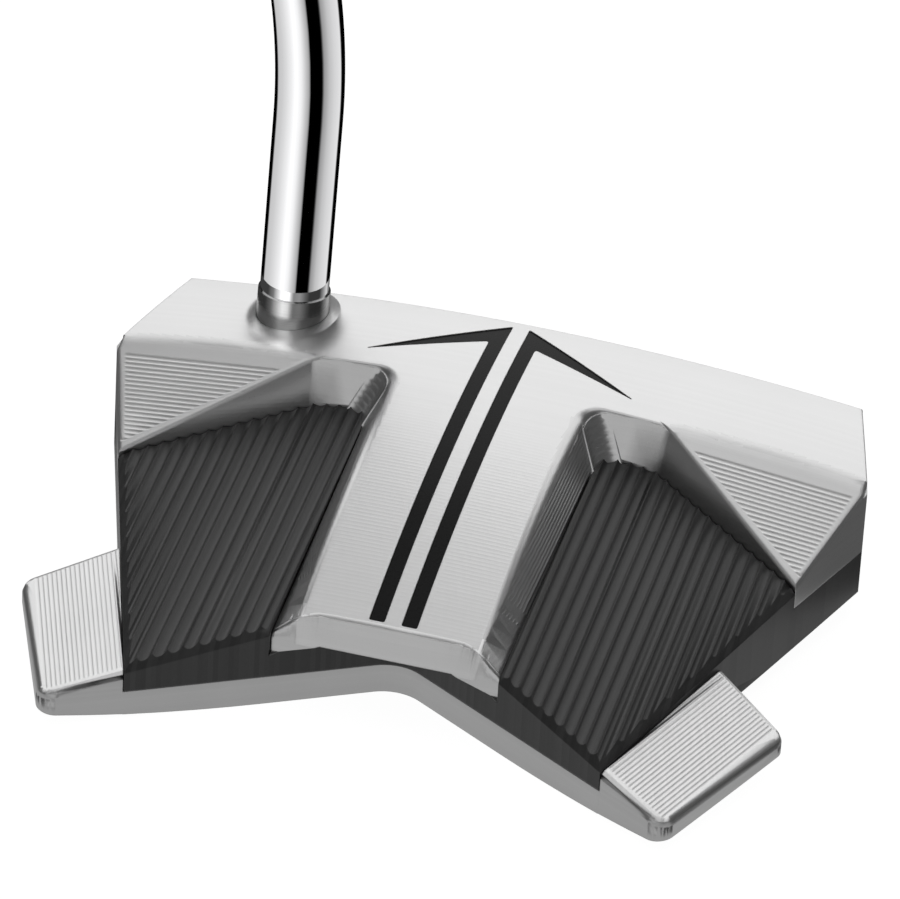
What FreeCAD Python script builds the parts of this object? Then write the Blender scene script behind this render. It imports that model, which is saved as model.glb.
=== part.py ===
import FreeCAD, Part
import math
import os
import Sketcher
from FreeCAD import Placement, Rotation, Vector

# Mallet putter, right-handed, millimetres.
# X runs from heel to toe, +Y is the way the ball leaves the face, +Z is up.
# The origin is the middle of the sole's flat, below the top edge of the face.

doc = FreeCAD.newDocument("mallet_putter")
sheet = doc.addObject("Spreadsheet::Sheet", "sizes")

SIZES = [
    ("face_width", 95.0, "head width along the top edge of the face"),
    ("wide_width", 104.8, "head width at its widest"),
    ("wide_setback", 17.0, "how far behind the face the head is widest"),
    ("rear_width", 64.0, "width over the two rear corners"),
    ("head_depth", 74.4, "from the face to the rear corners"),
    ("notch_setback", 55.3, "from the face to the bottom of the rear notch"),
    ("notch_round", 6.0, "radius of the rear notch"),
    ("crown_height", 24.35, "highest point of the top above the sole"),
    ("crown_radius", 365.0, "heel to toe radius of the top"),
    ("barrel_radius", 157.5, "front to rear radius of the top"),
    ("barrel_setback", 4.0, "where the top is level, behind the face"),
    ("loft_angle", 3.5, "loft of the face, degrees"),
    ("face_bar", 9.0, "depth of the full-height bar behind the face"),
    ("sole_flat", 32.0, "width of the flat in the middle of the sole"),
    ("sole_radius", 190.0, "heel and toe radius of the sole"),
    ("deck_height", 10.45, "underside of the upper body behind that bar, at its front"),
    ("deck_slope", 2.87, "fall of that underside to the rear, degrees"),
    ("tongue_height", 2.25, "rise of the channel under the bridge"),
    ("tongue_base", 30.4, "width of the channel at its bottom"),
    ("tongue_top", 17.8, "width of the channel at its top"),
    ("film", 0.15, "thickness of an adhesive film"),
    ("side_gap", 0.1, "gap between neighbouring bodies, seen as a dark line"),
    ("window_setback", 18.5, "front wall of the window at the deck, behind the face"),
    ("window_corner", 23.8, "where that wall turns, from the middle"),
    ("arm_tip_x", 47.1, "end of the slanted window wall, from the middle"),
    ("arm_tip_setback", 32.4, "end of the slanted window wall, behind the face"),
    ("wall_lean", 22.0, "lean of the window walls, degrees"),
    ("window_depth", 5.03, "top above the deck floor beside the bridge, at the window's front"),
    ("window_depth_rear", 0.45, "the same beside the rear end of the bridge"),
    ("floor_cant", 0.125, "fall of the deck floor per mm outwards"),
    ("lip", 1.2, "bevel along the outer edges of the deck floor"),
    ("facet_ridge", 16.4, "top edge of the wing facet, behind the face"),
    ("facet_drop", 6.12, "wing facet at the arm's tip, below the crowned top"),
    ("bridge_setback", 63.9, "foot of the bridge's rear face, behind the face"),
    ("bridge_front", 13.2, "half width of the bridge's top, in front"),
    ("bridge_rear", 12.5, "half width of the bridge's top, at the rear"),
    ("bridge_foot", 16.0, "half width of the bridge at the deck floor, in front"),
    ("bridge_foot_rear", 15.4, "half width of the bridge at its rear corners"),
    ("bridge_back", 61.4, "top of the bridge's rear face, behind the face"),
    ("bridge_lean", 33.0, "lean of the bridge's rear face above its foot, degrees"),
    ("line_inner", 2.3, "gap between the two alignment lines"),
    ("line_width", 2.1, "width of an alignment line"),
    ("line_front", 1.4, "front end of the alignment arrow, behind the face"),
    ("line_rear", 60.8, "rear end of the alignment lines, behind the face"),
    ("arrow_notch", 6.1, "inner corner of the arrow, behind the face"),
    ("arrow_tip_x", 19.2, "tip of the arrow's arm, from the middle"),
    ("arrow_tip_setback", 12.8, "tip of the arrow's arm, behind the face"),
    ("line_depth", 0.6, "depth of the alignment channel"),
    ("line_recess", 0.15, "how far the paint lies below the surface"),
    ("plate_top", 4.2, "top of the sole plate above the sole"),
    ("plate_setback", 16.0, "front edge of the sole plate, behind the face"),
    ("plate_inset", 5.0, "border of the mid body beside the sole plate"),
    ("foot_setback", 48.4, "front corner of a foot, behind the face"),
    ("foot_reach", 10.9, "how far a foot's front corner stands out"),
    ("foot_turn", 8.0, "how much further back that outer corner lies"),
    ("foot_length", 23.6, "length of the outer edge of a foot, front to rear"),
    ("foot_narrow", 10.4, "how far that edge runs inwards on its way"),
    ("foot_inner_height", 8.7, "foot beside the body, at its front"),
    ("foot_outer_drop", 2.95, "fall of the foot's top to its outer edge"),
    ("foot_rear_drop", 1.75, "fall of the foot's top to its rear"),
    ("foot_round", 2.2, "radius of a foot's outer corners"),
    ("weight_x", 31.0, "sole weight, from the middle"),
    ("weight_setback", 36.0, "sole weight, behind the face"),
    ("weight_head", 13.0, "diameter of a sole weight's head"),
    ("weight_head_depth", 1.6, "thickness of that head"),
    ("weight_body", 10.0, "diameter of a sole weight's body"),
    ("weight_body_depth", 4.4, "length of that body"),
    ("weight_sink", 1.4, "head of a sole weight above the sole's flat"),
    ("washer_thick", 0.4, "thickness of the weight's washer"),
    ("weight_slot", 1.6, "diameter of the two spanner holes"),
    ("weight_slot_span", 7.0, "distance between the spanner holes"),
    ("fit_gap", 0.1, "radial clearance round screws, weights and pins"),
    ("thread_gap", 0.05, "radial clearance of a thread or a pin in its hole"),
    ("screw_shank", 4.0, "thread diameter of the main screws"),
    ("screw_head", 7.6, "head diameter of the main screws"),
    ("screw_length", 16.0, "length of the main screws"),
    ("screw_socket", 2.5, "hex socket across flats"),
    ("screw_sink", 0.3, "screw head above the sole's flat"),
    ("bridge_screw_front", 25.0, "front bridge screw, behind the face"),
    ("bridge_screw_rear", 46.0, "rear bridge screw, behind the face"),
    ("wing_screw_x", 37.0, "wing screw, from the middle"),
    ("wing_screw_setback", 20.5, "wing screw, behind the face"),
    ("wing_screw_sink", 1.7, "wing screw head above the sole's flat"),
    ("rear_screw_shank", 3.0, "thread diameter of the rear screws"),
    ("rear_screw_head", 5.6, "head diameter of the rear screws"),
    ("rear_screw_length", 8.0, "length of the rear screws"),
    ("rear_screw_socket", 2.0, "rear screw's hex socket across flats"),
    ("rear_screw_x", 24.0, "rear screw, from the middle"),
    ("rear_screw_setback", 60.0, "rear screw, behind the face"),
    ("rear_screw_sink", 0.5, "rear screw head above the sole's flat"),
    ("pin_size", 3.0, "diameter of a dowel pin"),
    ("pin_length", 9.0, "length of a dowel pin"),
    ("pin_x", 30.0, "dowel pin, from the middle"),
    ("pin_setback", 13.5, "dowel pin, behind the face"),
    ("pin_low", 6.0, "lower end of a dowel pin above the sole"),
    ("hosel_x", 31.0, "shaft axis at the head's top, to the heel"),
    ("hosel_setback", 6.0, "shaft axis at the head's top, behind the face"),
    ("hosel_forward", 6.8, "forward lean of the shaft's lower leg, degrees"),
    ("collar_size", 9.9, "diameter of the collar"),
    ("collar_height", 3.4, "collar seen above the head"),
    ("collar_seat", 1.0, "collar sunk into the head"),
    ("post_low_size", 8.0, "diameter of the post in the head"),
    ("post_low_depth", 11.0, "length of the post in the head"),
    ("post_high_length", 22.0, "length of the post in the shaft"),
    ("bond_gap", 0.1, "adhesive round the post"),
    ("shaft_tip", 9.4, "shaft diameter at the tip"),
    ("shaft_butt", 14.7, "shaft diameter under the grip"),
    ("shaft_wall", 0.55, "wall of the shaft tube"),
    ("lower_leg", 25.2, "straight lower leg of the shaft, above the collar"),
    ("bend_radius", 100.0, "radius of the shaft's bend"),
    ("lie_angle", 70.0, "lie of the shaft's long leg, degrees"),
    ("club_length", 864.0, "club length along the shaft, ground to butt"),
    ("first_step", 130.0, "plain shaft above the bend"),
    ("step_pitch", 32.0, "distance between two shaft steps"),
    ("step_count", 11, "number of shaft steps"),
    ("step_taper", 3.0, "length of the taper at a step"),
    ("tape_thick", 0.2, "thickness of the grip tape"),
    ("grip_length", 267.0, "length of the grip"),
    ("grip_mouth", 20.0, "grip diameter at its mouth"),
    ("grip_top", 27.5, "grip diameter at the butt"),
    ("grip_flat", 9.2, "flat of the grip from the shaft's axis, at the mouth"),
    ("grip_flat_top", 12.2, "flat of the grip from the shaft's axis, at the butt"),
    ("cap_thick", 4.0, "thickness of the grip's end cap"),
    ("cap_hole", 3.0, "vent hole in the end cap"),
    ("nose", 3.0, "metal ahead of the top edge of the face, before the loft is cut"),
    ("underside", 5.0, "blank below the sole's flat, before the sole is cut"),
    ("blank_height", 40.0, "blank above the sole's flat, before the top is cut"),
    ("reach", 400.0, "size of the blocks that cut along a plane"),
]

for row, (alias, value, note) in enumerate(SIZES, start=1):
    sheet.set("A%d" % row, alias)
    sheet.set("B%d" % row, str(value))
    sheet.set("C%d" % row, note)
    sheet.setAlias("B%d" % row, alias)
doc.recompute()


ALIASES = {alias for alias, value, note in SIZES}


def size(alias):
    """The value of one cell."""
    return float(sheet.get(alias))


def cells(text):
    """The expression with the sheet's name before each alias."""
    out = ""
    word = ""
    for letter in text + " ":
        if letter.isalnum() or letter == "_":
            word += letter
            continue
        out += ("sizes." + word if word in ALIASES else word) + letter
        word = ""
    return out.strip()


def number(text):
    """The value of an expression of cells."""
    return float(sheet.evalExpression(cells(text)))


def add(kind, name, **expressions):
    """A new object with properties tied to expressions of cells."""
    item = doc.addObject(kind, name)
    for property_name, text in expressions.items():
        item.setExpression(property_name, cells(text))
    return item


def place(item, point, turn=Rotation()):
    item.Placement = Placement(point, turn)
    return item


def fuse(name, *shapes):
    item = doc.addObject("Part::MultiFuse", name)
    item.Shapes = list(shapes)
    return item


def cut(name, base, *tools):
    item = doc.addObject("Part::Cut", name)
    item.Base = base
    item.Tool = tools[0] if len(tools) == 1 else fuse(name + "_tools", *tools)
    return item


def common(name, *shapes):
    item = doc.addObject("Part::MultiCommon", name)
    item.Shapes = list(shapes)
    return item


def other_side(name, source):
    """The same piece on the other side of the head's middle plane."""
    item = doc.addObject("Part::Mirroring", name)
    item.Source = source
    item.Normal = Vector(1, 0, 0)
    return item


def group(name, *shapes):
    item = doc.addObject("Part::Compound", name)
    item.Links = list(shapes)
    return item


def half_space(name, point, normal):
    """A block on the side of a plane that its normal points to."""
    block = add("Part::Box", name, Length="reach", Width="reach", Height="reach")
    turn = Rotation(Vector(0, 0, 1), normal)
    middle = Vector(size("reach") / 2, size("reach") / 2, 0)
    return place(block, point - turn.multVec(middle), turn)


def rod(name, radius, length, point, direction=Vector(0, 0, 1)):
    """A round rod from a point along a direction."""
    item = add("Part::Cylinder", name, Radius=radius, Height=length)
    return place(item, point, Rotation(Vector(0, 0, 1), direction))


def chosen_edges(shape, keep):
    """Numbers of the edges of a shape that a test keeps."""
    return [i for i, edge in enumerate(shape.Edges, start=1) if keep(edge)]


def rounded(name, base, radius, keep):
    doc.recompute()
    item = doc.addObject("Part::Fillet", name)
    item.Base = base
    item.Edges = [(i, radius, radius) for i in chosen_edges(base.Shape, keep)]
    return item


def upright_at(x, y):
    """A test for the upright edges at one place of the outline."""
    def keep(edge):
        a, b = edge.Vertexes[0].Point, edge.Vertexes[-1].Point
        upright = math.hypot(a.x - b.x, a.y - b.y) < 0.01 and abs(a.z - b.z) > 0.5
        return upright and math.hypot(abs(a.x) - x, a.y - y) < 0.05
    return keep


def half_pad(name, corners, both_sides=True):
    """A blank padded from a half outline, mirrored to the heel side.

    Corners are pairs of expressions: distance from the middle and setback from
    the top edge of the face. The sketch's own y runs to the rear, from nose.
    """
    body = doc.addObject("PartDesign::Body", name)
    planes = {item.Role: item for item in body.Origin.OriginFeatures}
    sketch = body.newObject("Sketcher::SketchObject", name + "_sketch")
    sketch.AttachmentSupport = [(planes["XY_Plane"], "")]
    sketch.MapMode = "FlatFace"
    sketch.AttachmentOffset = Placement(Vector(), Rotation(Vector(1, 0, 0), 180))
    texts = [(x, y + " + nose") for x, y in corners]
    points = [Vector(number(x), number(y), 0) for x, y in texts]
    count = len(points)
    for i in range(count):
        sketch.addGeometry(Part.LineSegment(points[i], points[(i + 1) % count]), False)
    for i in range(count):
        sketch.addConstraint(Sketcher.Constraint("Coincident", i, 2, (i + 1) % count, 1))
    for i in range(count):
        for axis, text, line in (("X", texts[i][0], -2), ("Y", texts[i][1], -1)):
            if abs(number(text)) < 1e-9:
                sketch.addConstraint(Sketcher.Constraint("PointOnObject", i, 1, line))
                continue
            rule = Sketcher.Constraint("Distance" + axis, -1, 1, i, 1, number(text))
            label = "corner%d%s" % (i, axis)
            sketch.renameConstraint(sketch.addConstraint(rule), label)
            sketch.setExpression("Constraints." + label, cells(text))
    pad = body.newObject("PartDesign::Pad", name + "_pad")
    pad.Profile = sketch
    pad.Reversed = True
    pad.setExpression("Length", cells("blank_height + underside"))
    if both_sides:
        doc.recompute()
        mirror = body.newObject("PartDesign::Mirrored", name + "_mirror")
        mirror.Originals = [pad]
        mirror.MirrorPlane = (planes["YZ_Plane"], [""])
        body.Tip = mirror
    return place(body, Vector(0, size("nose"), -size("underside")))


# ---------------------------------------------------------------------------
# Surfaces that several pieces share

SIDE_RUN = "(wide_width - rear_width) / 2 / (head_depth - wide_setback)"


def side_x(setback):
    """Half width of the head's slanted side at a setback, as an expression."""
    return "(wide_width / 2 - %s * (%s - wide_setback))" % (SIDE_RUN, setback)


def top_height(x, y):
    """Height of the crowned top over a point."""
    across = size("crown_radius") - math.sqrt(size("crown_radius") ** 2 - x * x)
    back = y + size("barrel_setback")
    along = size("barrel_radius") - math.sqrt(size("barrel_radius") ** 2 - back * back)
    return size("crown_height") - across - along


def floor_start():
    """Height of the grooved deck floor beside the bridge, at the window's front."""
    return top_height(size("bridge_foot"), -size("window_setback")) - size("window_depth")


def floor_fall():
    """Fall of the deck floor per mm to the rear."""
    rear = top_height(size("bridge_foot"), -size("bridge_setback")) - size("window_depth_rear")
    return (floor_start() - rear) / (size("bridge_setback") - size("window_setback"))


def floor_level(x, y):
    """Height of the grooved deck floor over a point."""
    rearward = -y - size("window_setback")
    outward = abs(x) - size("bridge_foot")
    return floor_start() - floor_fall() * rearward - size("floor_cant") * outward


def under_top(name, depth="0"):
    """All below the crowned top, or below a surface that much deeper."""
    ring = add("Part::Torus", name, Radius1="crown_radius - barrel_radius",
               Radius2="barrel_radius - " + depth)
    centre = Vector(0, -size("barrel_setback"), size("crown_height") - size("crown_radius"))
    return place(ring, centre, Rotation(Vector(1, 0, 0), 90))


def above_sole():
    """All above the sole: flat in the middle, rising to heel and toe."""
    flat = add("Part::Box", "sole_flat_block", Length="sole_flat", Width="reach",
               Height="blank_height")
    place(flat, Vector(-size("sole_flat") / 2, -size("reach") / 2, 0))
    barrels = []
    for name, side in (("sole_toe_barrel", 1), ("sole_heel_barrel", -1)):
        start = Vector(side * size("sole_flat") / 2, size("reach") / 2, size("sole_radius"))
        barrels.append(rod(name, "sole_radius", "reach", start, Vector(0, -1, 0)))
    return fuse("above_sole", flat, *barrels)


head_blank = half_pad("head_blank", [
    ("0", "-nose"),
    ("face_width / 2", "-nose"),
    ("face_width / 2", "0"),
    ("wide_width / 2", "wide_setback"),
    ("rear_width / 2", "head_depth"),
    ("0", "notch_setback"),
])
head_outline = rounded("head_outline", head_blank, size("notch_round"),
                       upright_at(0, -size("notch_setback")))
sole_side = above_sole()
behind_bar = half_space("behind_bar", Vector(0, -size("face_bar"), 0), Vector(0, -1, 0))


def below_deck(name, drop):
    """All under the upper body: a slanted plane with the tongue on it."""
    turn = Rotation(Vector(1, 0, 0), size("deck_slope"))
    start = Vector(0, -size("face_bar"), size("deck_height"))
    up = turn.multVec(Vector(0, 0, 1))
    start = start - up * drop
    slab = half_space(name + "_plane", start, up * -1)
    tongue = doc.addObject("Part::Wedge", name + "_tongue")
    for end in ("", "2"):
        width = "tongue_base" if end == "" else "tongue_top"
        tongue.setExpression("X%smin" % end, cells("-%s / 2" % width))
        tongue.setExpression("X%smax" % end, cells("%s / 2" % width))
        tongue.setExpression("Z%smin" % end, "-1")
        tongue.setExpression("Z%smax" % end, cells("reach"))
    tongue.setExpression("Ymin", "0")
    tongue.setExpression("Ymax", cells("tongue_height"))
    place(tongue, start, turn.multiply(Rotation(Vector(1, 0, 0), 90)))
    return common(name, fuse(name + "_both", slab, tongue), behind_bar)


deck_roof = below_deck("deck_roof", 0)
deck_top = below_deck("deck_top", size("film"))


# Windows of the upper body: a front wall and a slanted wall on each side,
# leaning above the deck floor and upright below it.

wall_start = Vector(size("window_corner"), -size("window_setback"), 0)
wall_end = Vector(size("arm_tip_x"), -size("arm_tip_setback"), 0)
wall_start.z = floor_level(wall_start.x, wall_start.y)
wall_end.z = floor_level(wall_end.x, wall_end.y)
lean = math.tan(math.radians(size("wall_lean")))


def across_wall():
    """Level direction square to the slanted wall, pointing rearwards."""
    run = wall_end - wall_start
    square = Vector(run.y, -run.x, 0)
    return square.normalize()


def toe_window(name, gap):
    """The upright prism of the toe window, smaller all round by a gap."""
    front = half_space(name + "_front", wall_start + Vector(0, -gap, 0), Vector(0, -1, 0))
    slant = half_space(name + "_slant", wall_start + across_wall() * gap, across_wall())
    foot_start = Vector(size("bridge_foot") + gap, -size("window_setback"), 0)
    foot_end = Vector(size("bridge_foot_rear") + gap, -size("bridge_setback"), 0)
    run = foot_end - foot_start
    side = half_space(name + "_side", foot_start, Vector(-run.y, run.x, 0).normalize())
    return common(name, front, slant, side)


def toe_leaning_window():
    """The part of the toe window that widens above the deck floor."""
    front = half_space("lean_front", wall_start, Vector(0, -1, lean).normalize())
    run = wall_end - wall_start
    rise = across_wall() * -lean + Vector(0, 0, 1)
    out = rise.cross(run).normalize()
    if out.dot(across_wall()) < 0:
        out = out * -1
    slant = half_space("lean_slant", wall_start, out)
    side = half_space("lean_side", Vector(0, 0, 0), Vector(1, 0, 0))
    return common("toe_leaning_window", front, slant, side)


window = toe_window("toe_window", 0)
leaning = toe_leaning_window()

# ---------------------------------------------------------------------------
# Upper body: clear anodised aluminium, one piece of face bar, wings and bridge


def wing_facet():
    """The slanted triangular facet of the toe wing."""
    ridge = -size("facet_ridge")
    inner = Vector(wall_start.x, ridge, top_height(wall_start.x, ridge))
    wide = size("wide_width") / 2
    outer = Vector(wide, ridge, top_height(wide, ridge))
    tip_height = top_height(wall_end.x, wall_end.y) - size("facet_drop")
    tip = Vector(wall_end.x, wall_end.y, tip_height)
    normal = (outer - inner).cross(tip - inner).normalize()
    if normal.z < 0:
        normal = normal * -1
    return half_space("toe_facet", inner, normal)


def part_way(start, end, share):
    """A value part of the way from one to another."""
    return start + (end - start) * share


def bridge_section(share):
    """Outline of the bridge across X, a share of the way to its rear, open wide below and above."""
    front_y = size("face_bar")
    rear_y = size("bridge_setback")
    setback = part_way(front_y, rear_y, share)
    foot = part_way(size("bridge_foot"), size("bridge_foot_rear"), share)
    shoulder = part_way(size("bridge_front"), size("bridge_rear"), share)
    foot_z = part_way(floor_level(size("bridge_foot"), -front_y),
                      floor_level(size("bridge_foot_rear"), -rear_y) - size("lip"), share)
    shoulder_z = top_height(shoulder, -setback)
    slope = (shoulder - foot) / (shoulder_z - foot_z)
    high = shoulder_z + shoulder / 6
    narrow = foot + slope * (high - foot_z)
    half = [(foot, 0), (foot, foot_z), (narrow, high)]
    right = [Vector(x, -setback, z) for x, z in half]
    left = [Vector(-x, -setback, z) for x, z in reversed(half)]
    return Part.makePolygon(right + left + right[:1])


def bridge_blank():
    """Bridge sections joined by straight lines; the sides' top edges follow the crown."""
    item = doc.addObject("Part::Feature", "bridge_blank")
    item.Shape = Part.makeLoft([bridge_section(share / 6) for share in range(7)], True, True)
    return item


def bridge_rear():
    """The leaning rear face of the bridge; below it the blank stays upright."""
    point = Vector(0, -size("bridge_back"), top_height(0, -size("bridge_back")))
    lean = math.radians(size("bridge_lean"))
    return half_space("bridge_rear", point, Vector(0, -math.cos(lean), math.sin(lean)))


crown = under_top("crown")
loft_turn = Rotation(Vector(1, 0, 0), size("loft_angle"))
ahead_of_face = half_space("ahead_of_face", Vector(0, 0, size("crown_height")),
                           loft_turn.multVec(Vector(0, 1, 0)))
facet = wing_facet()
wings = cut("wings", common("crowned_blank", head_outline, crown, sole_side),
            facet, other_side("heel_facet", facet),
            leaning, other_side("heel_leaning_window", leaning),
            window, other_side("heel_window", window))
bridge = cut("bridge", common("crowned_bridge", bridge_blank(), crown), bridge_rear())
upper_solid = cut("upper_solid", fuse("wings_and_bridge", wings, bridge), deck_roof, ahead_of_face)

# ---------------------------------------------------------------------------
# Alignment arrow: two mirrored channels filled with paint

arrow = half_pad("arrow", [
    ("line_inner / 2", "line_front"),
    ("arrow_tip_x", "arrow_tip_setback"),
    ("line_inner / 2 + line_width", "arrow_notch"),
    ("line_inner / 2 + line_width", "line_rear"),
    ("line_inner / 2", "line_rear"),
], both_sides=False)
channel_floor = under_top("channel_floor", "line_depth")
paint_level = under_top("paint_level", "line_recess")
channel = cut("channel", arrow, channel_floor)
toe_paint = common("toe_line_paint", channel, paint_level)
heel_paint = other_side("heel_line_paint", toe_paint)

# ---------------------------------------------------------------------------
# Mid body: black anodised aluminium, its two grooved decks fill the windows


def deck_floor_plane():
    start = Vector(size("bridge_foot"), -size("window_setback"), floor_start())
    return half_space("over_floor", start,
                      Vector(size("floor_cant"), -floor_fall(), 1).normalize())


def lip_bevel(name, point, outward):
    """The bevel along one outer edge of the toe deck: as steep as it is wide."""
    inner = point - outward * size("lip")
    inner.z = floor_level(inner.x, inner.y)
    along = Vector(-outward.y, outward.x, 0)
    far = inner + along * 10
    far.z = floor_level(far.x, far.y)
    down = outward - Vector(0, 0, 1)
    normal = (far - inner).cross(down).normalize()
    if normal.z < 0:
        normal = normal * -1
    return half_space(name, inner, normal)


wide_point = Vector(size("wide_width") / 2, -size("wide_setback"), 0)
rear_point = Vector(size("rear_width") / 2, -size("head_depth"), 0)
notch_point = Vector(0, -size("notch_setback"), 0)
side_run = rear_point - wide_point
rear_run = notch_point - rear_point
side_out = Vector(-side_run.y, side_run.x, 0).normalize()
rear_out = Vector(-rear_run.y, rear_run.x, 0).normalize()
if rear_out.y > 0:
    rear_out = rear_out * -1

toe_deck = cut("toe_deck",
               common("toe_deck_blank", head_outline, toe_window("toe_deck_prism", size("side_gap"))),
               deck_floor_plane(),
               lip_bevel("side_lip", rear_point, side_out),
               lip_bevel("rear_lip", rear_point, rear_out))
decks = fuse("decks", common("under_the_bridge", head_outline, deck_top),
             toe_deck, other_side("heel_deck", toe_deck))

# ---------------------------------------------------------------------------
# Sole plate: stainless steel, with the two rear feet

INNER_FOOT = side_x("foot_setback") + " + side_gap"
OUTER_FOOT = INNER_FOOT + " + foot_reach"
foot_corners = [
    (INNER_FOOT, "foot_setback"),
    (OUTER_FOOT, "foot_setback + foot_turn"),
    (OUTER_FOOT + " - foot_narrow", "foot_setback + foot_turn + foot_length"),
    ("rear_width / 2 + side_gap", "head_depth"),
]
plate_blank = half_pad("plate_blank", [
    ("0", "plate_setback"),
    (side_x("plate_setback") + " - plate_inset", "plate_setback"),
    (side_x("foot_setback") + " - plate_inset", "foot_setback"),
    *foot_corners,
    ("rear_width / 2", "head_depth"),
    ("0", "notch_setback"),
])
foot_blank = half_pad("foot_blank", foot_corners)


def foot_corner(x, y):
    """A test for the upright edges at a corner given by expressions."""
    return upright_at(number(x), -number(y))


def either(*tests):
    return lambda edge: any(test(edge) for test in tests)


outer_corners = either(foot_corner(*foot_corners[1]), foot_corner(*foot_corners[2]))
notch = upright_at(0, -size("notch_setback"))
plate_outline = rounded("plate_outline", rounded("plate_notch", plate_blank, size("notch_round"), notch),
                        size("foot_round"), outer_corners)
foot_outline = rounded("foot_outline", foot_blank, size("foot_round"), outer_corners)


def foot_top():
    """The slanted plane on top of the toe foot."""
    front = Vector(number(foot_corners[0][0]), -number(foot_corners[0][1]), size("foot_inner_height"))
    outer = Vector(number(foot_corners[1][0]), -number(foot_corners[1][1]),
                   front.z - size("foot_outer_drop"))
    rear = Vector(number(foot_corners[3][0]), -number(foot_corners[3][1]),
                  front.z - size("foot_rear_drop"))
    normal = (outer - front).cross(rear - front).normalize()
    if normal.z < 0:
        normal = normal * -1
    return half_space("over_foot", front, normal)


toe_over = foot_top()
over_plate = half_space("over_plate", Vector(0, 0, size("plate_top")), Vector(0, 0, 1))
feet = cut("feet", foot_outline, toe_over, other_side("heel_over_foot", toe_over))
plate = common("plate", fuse("plate_and_feet", cut("plate_slab", plate_outline, over_plate), feet),
               sole_side)

recess_roof = half_space("recess_roof", Vector(0, 0, size("plate_top") + size("film")),
                         Vector(0, 0, -1))
plate_pocket = common("plate_pocket", plate_outline, recess_roof)
mid = cut("mid", common("mid_blank", decks, sole_side, behind_bar), plate_pocket)

# ---------------------------------------------------------------------------
# Screws, pins and weights, all driven in from below


def screw(name, x, setback, sink, shank, head, length, socket):
    """A countersunk screw with a hex socket, head down."""
    point = Vector(x, -setback, sink)
    cone = add("Part::Cone", name + "_head", Radius1=head + " / 2", Radius2=shank + " / 2",
               Height="(%s - %s) / 2" % (head, shank))
    place(cone, point)
    body = fuse(name + "_solid", cone, rod(name + "_shank", shank + " / 2", length, point))
    hexagon = add("Part::Prism", name + "_socket", Circumradius=socket + " / 1.732",
                  Height="(%s - %s) / 2" % (head, shank))
    hexagon.Polygon = 6
    place(hexagon, point)
    return cut(name, body, hexagon)


def screw_hole(name, x, setback, sink, shank, head, length, gap):
    """Room for that screw: its countersink, opened to below, and its shank."""
    point = Vector(x, -setback, sink)
    cone = add("Part::Cone", name + "_seat", Radius1="%s / 2 + fit_gap" % head,
               Radius2="%s / 2 + fit_gap" % shank, Height="(%s - %s) / 2" % (head, shank))
    place(cone, point)
    below = rod(name + "_mouth", "%s / 2 + fit_gap" % head, "reach", point, Vector(0, 0, -1))
    shaft_room = rod(name + "_bore", "%s / 2 + %s" % (shank, gap), length + " + thread_gap", point)
    return fuse(name, cone, below, shaft_room)


MAIN = ("screw_shank", "screw_head", "screw_length")
REAR = ("rear_screw_shank", "rear_screw_head", "rear_screw_length")
places = [
    ("front_bridge", 0, size("bridge_screw_front"), size("screw_sink"), MAIN, "screw_socket"),
    ("rear_bridge", 0, size("bridge_screw_rear"), size("screw_sink"), MAIN, "screw_socket"),
    ("toe_wing", size("wing_screw_x"), size("wing_screw_setback"), size("wing_screw_sink"),
     MAIN, "screw_socket"),
    ("heel_wing", -size("wing_screw_x"), size("wing_screw_setback"), size("wing_screw_sink"),
     MAIN, "screw_socket"),
    ("toe_rear", size("rear_screw_x"), size("rear_screw_setback"), size("rear_screw_sink"),
     REAR, "rear_screw_socket"),
    ("heel_rear", -size("rear_screw_x"), size("rear_screw_setback"), size("rear_screw_sink"),
     REAR, "rear_screw_socket"),
]
screws = {}
wide_holes = []
thread_holes = []
for label, x, setback, sink, dims, socket in places:
    screws[label] = screw(label + "_screw", x, setback, sink, *dims, socket)
    wide_holes.append(screw_hole(label + "_clearance", x, setback, sink, *dims, "fit_gap"))
    thread_holes.append(screw_hole(label + "_thread", x, setback, sink, *dims, "thread_gap"))
main_wide, rear_wide = wide_holes[:4], wide_holes[4:]
main_thread, rear_thread = thread_holes[:4], thread_holes[4:]
bridge_screws = group("bridge_screws", screws["front_bridge"], screws["rear_bridge"])
wing_screws = group("wing_screws", screws["toe_wing"], screws["heel_wing"])
rear_screws = group("rear_screws", screws["toe_rear"], screws["heel_rear"])

pins = []
pin_holes = []
for label, side in (("toe", 1), ("heel", -1)):
    foot = Vector(side * size("pin_x"), -size("pin_setback"), size("pin_low"))
    pins.append(rod(label + "_pin", "pin_size / 2", "pin_length", foot))
    low = foot - Vector(0, 0, size("fit_gap"))
    pin_holes.append(rod(label + "_pin_hole", "pin_size / 2 + thread_gap",
                         "pin_length + 2 * fit_gap", low))
dowel_pins = group("dowel_pins", *pins)


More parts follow.
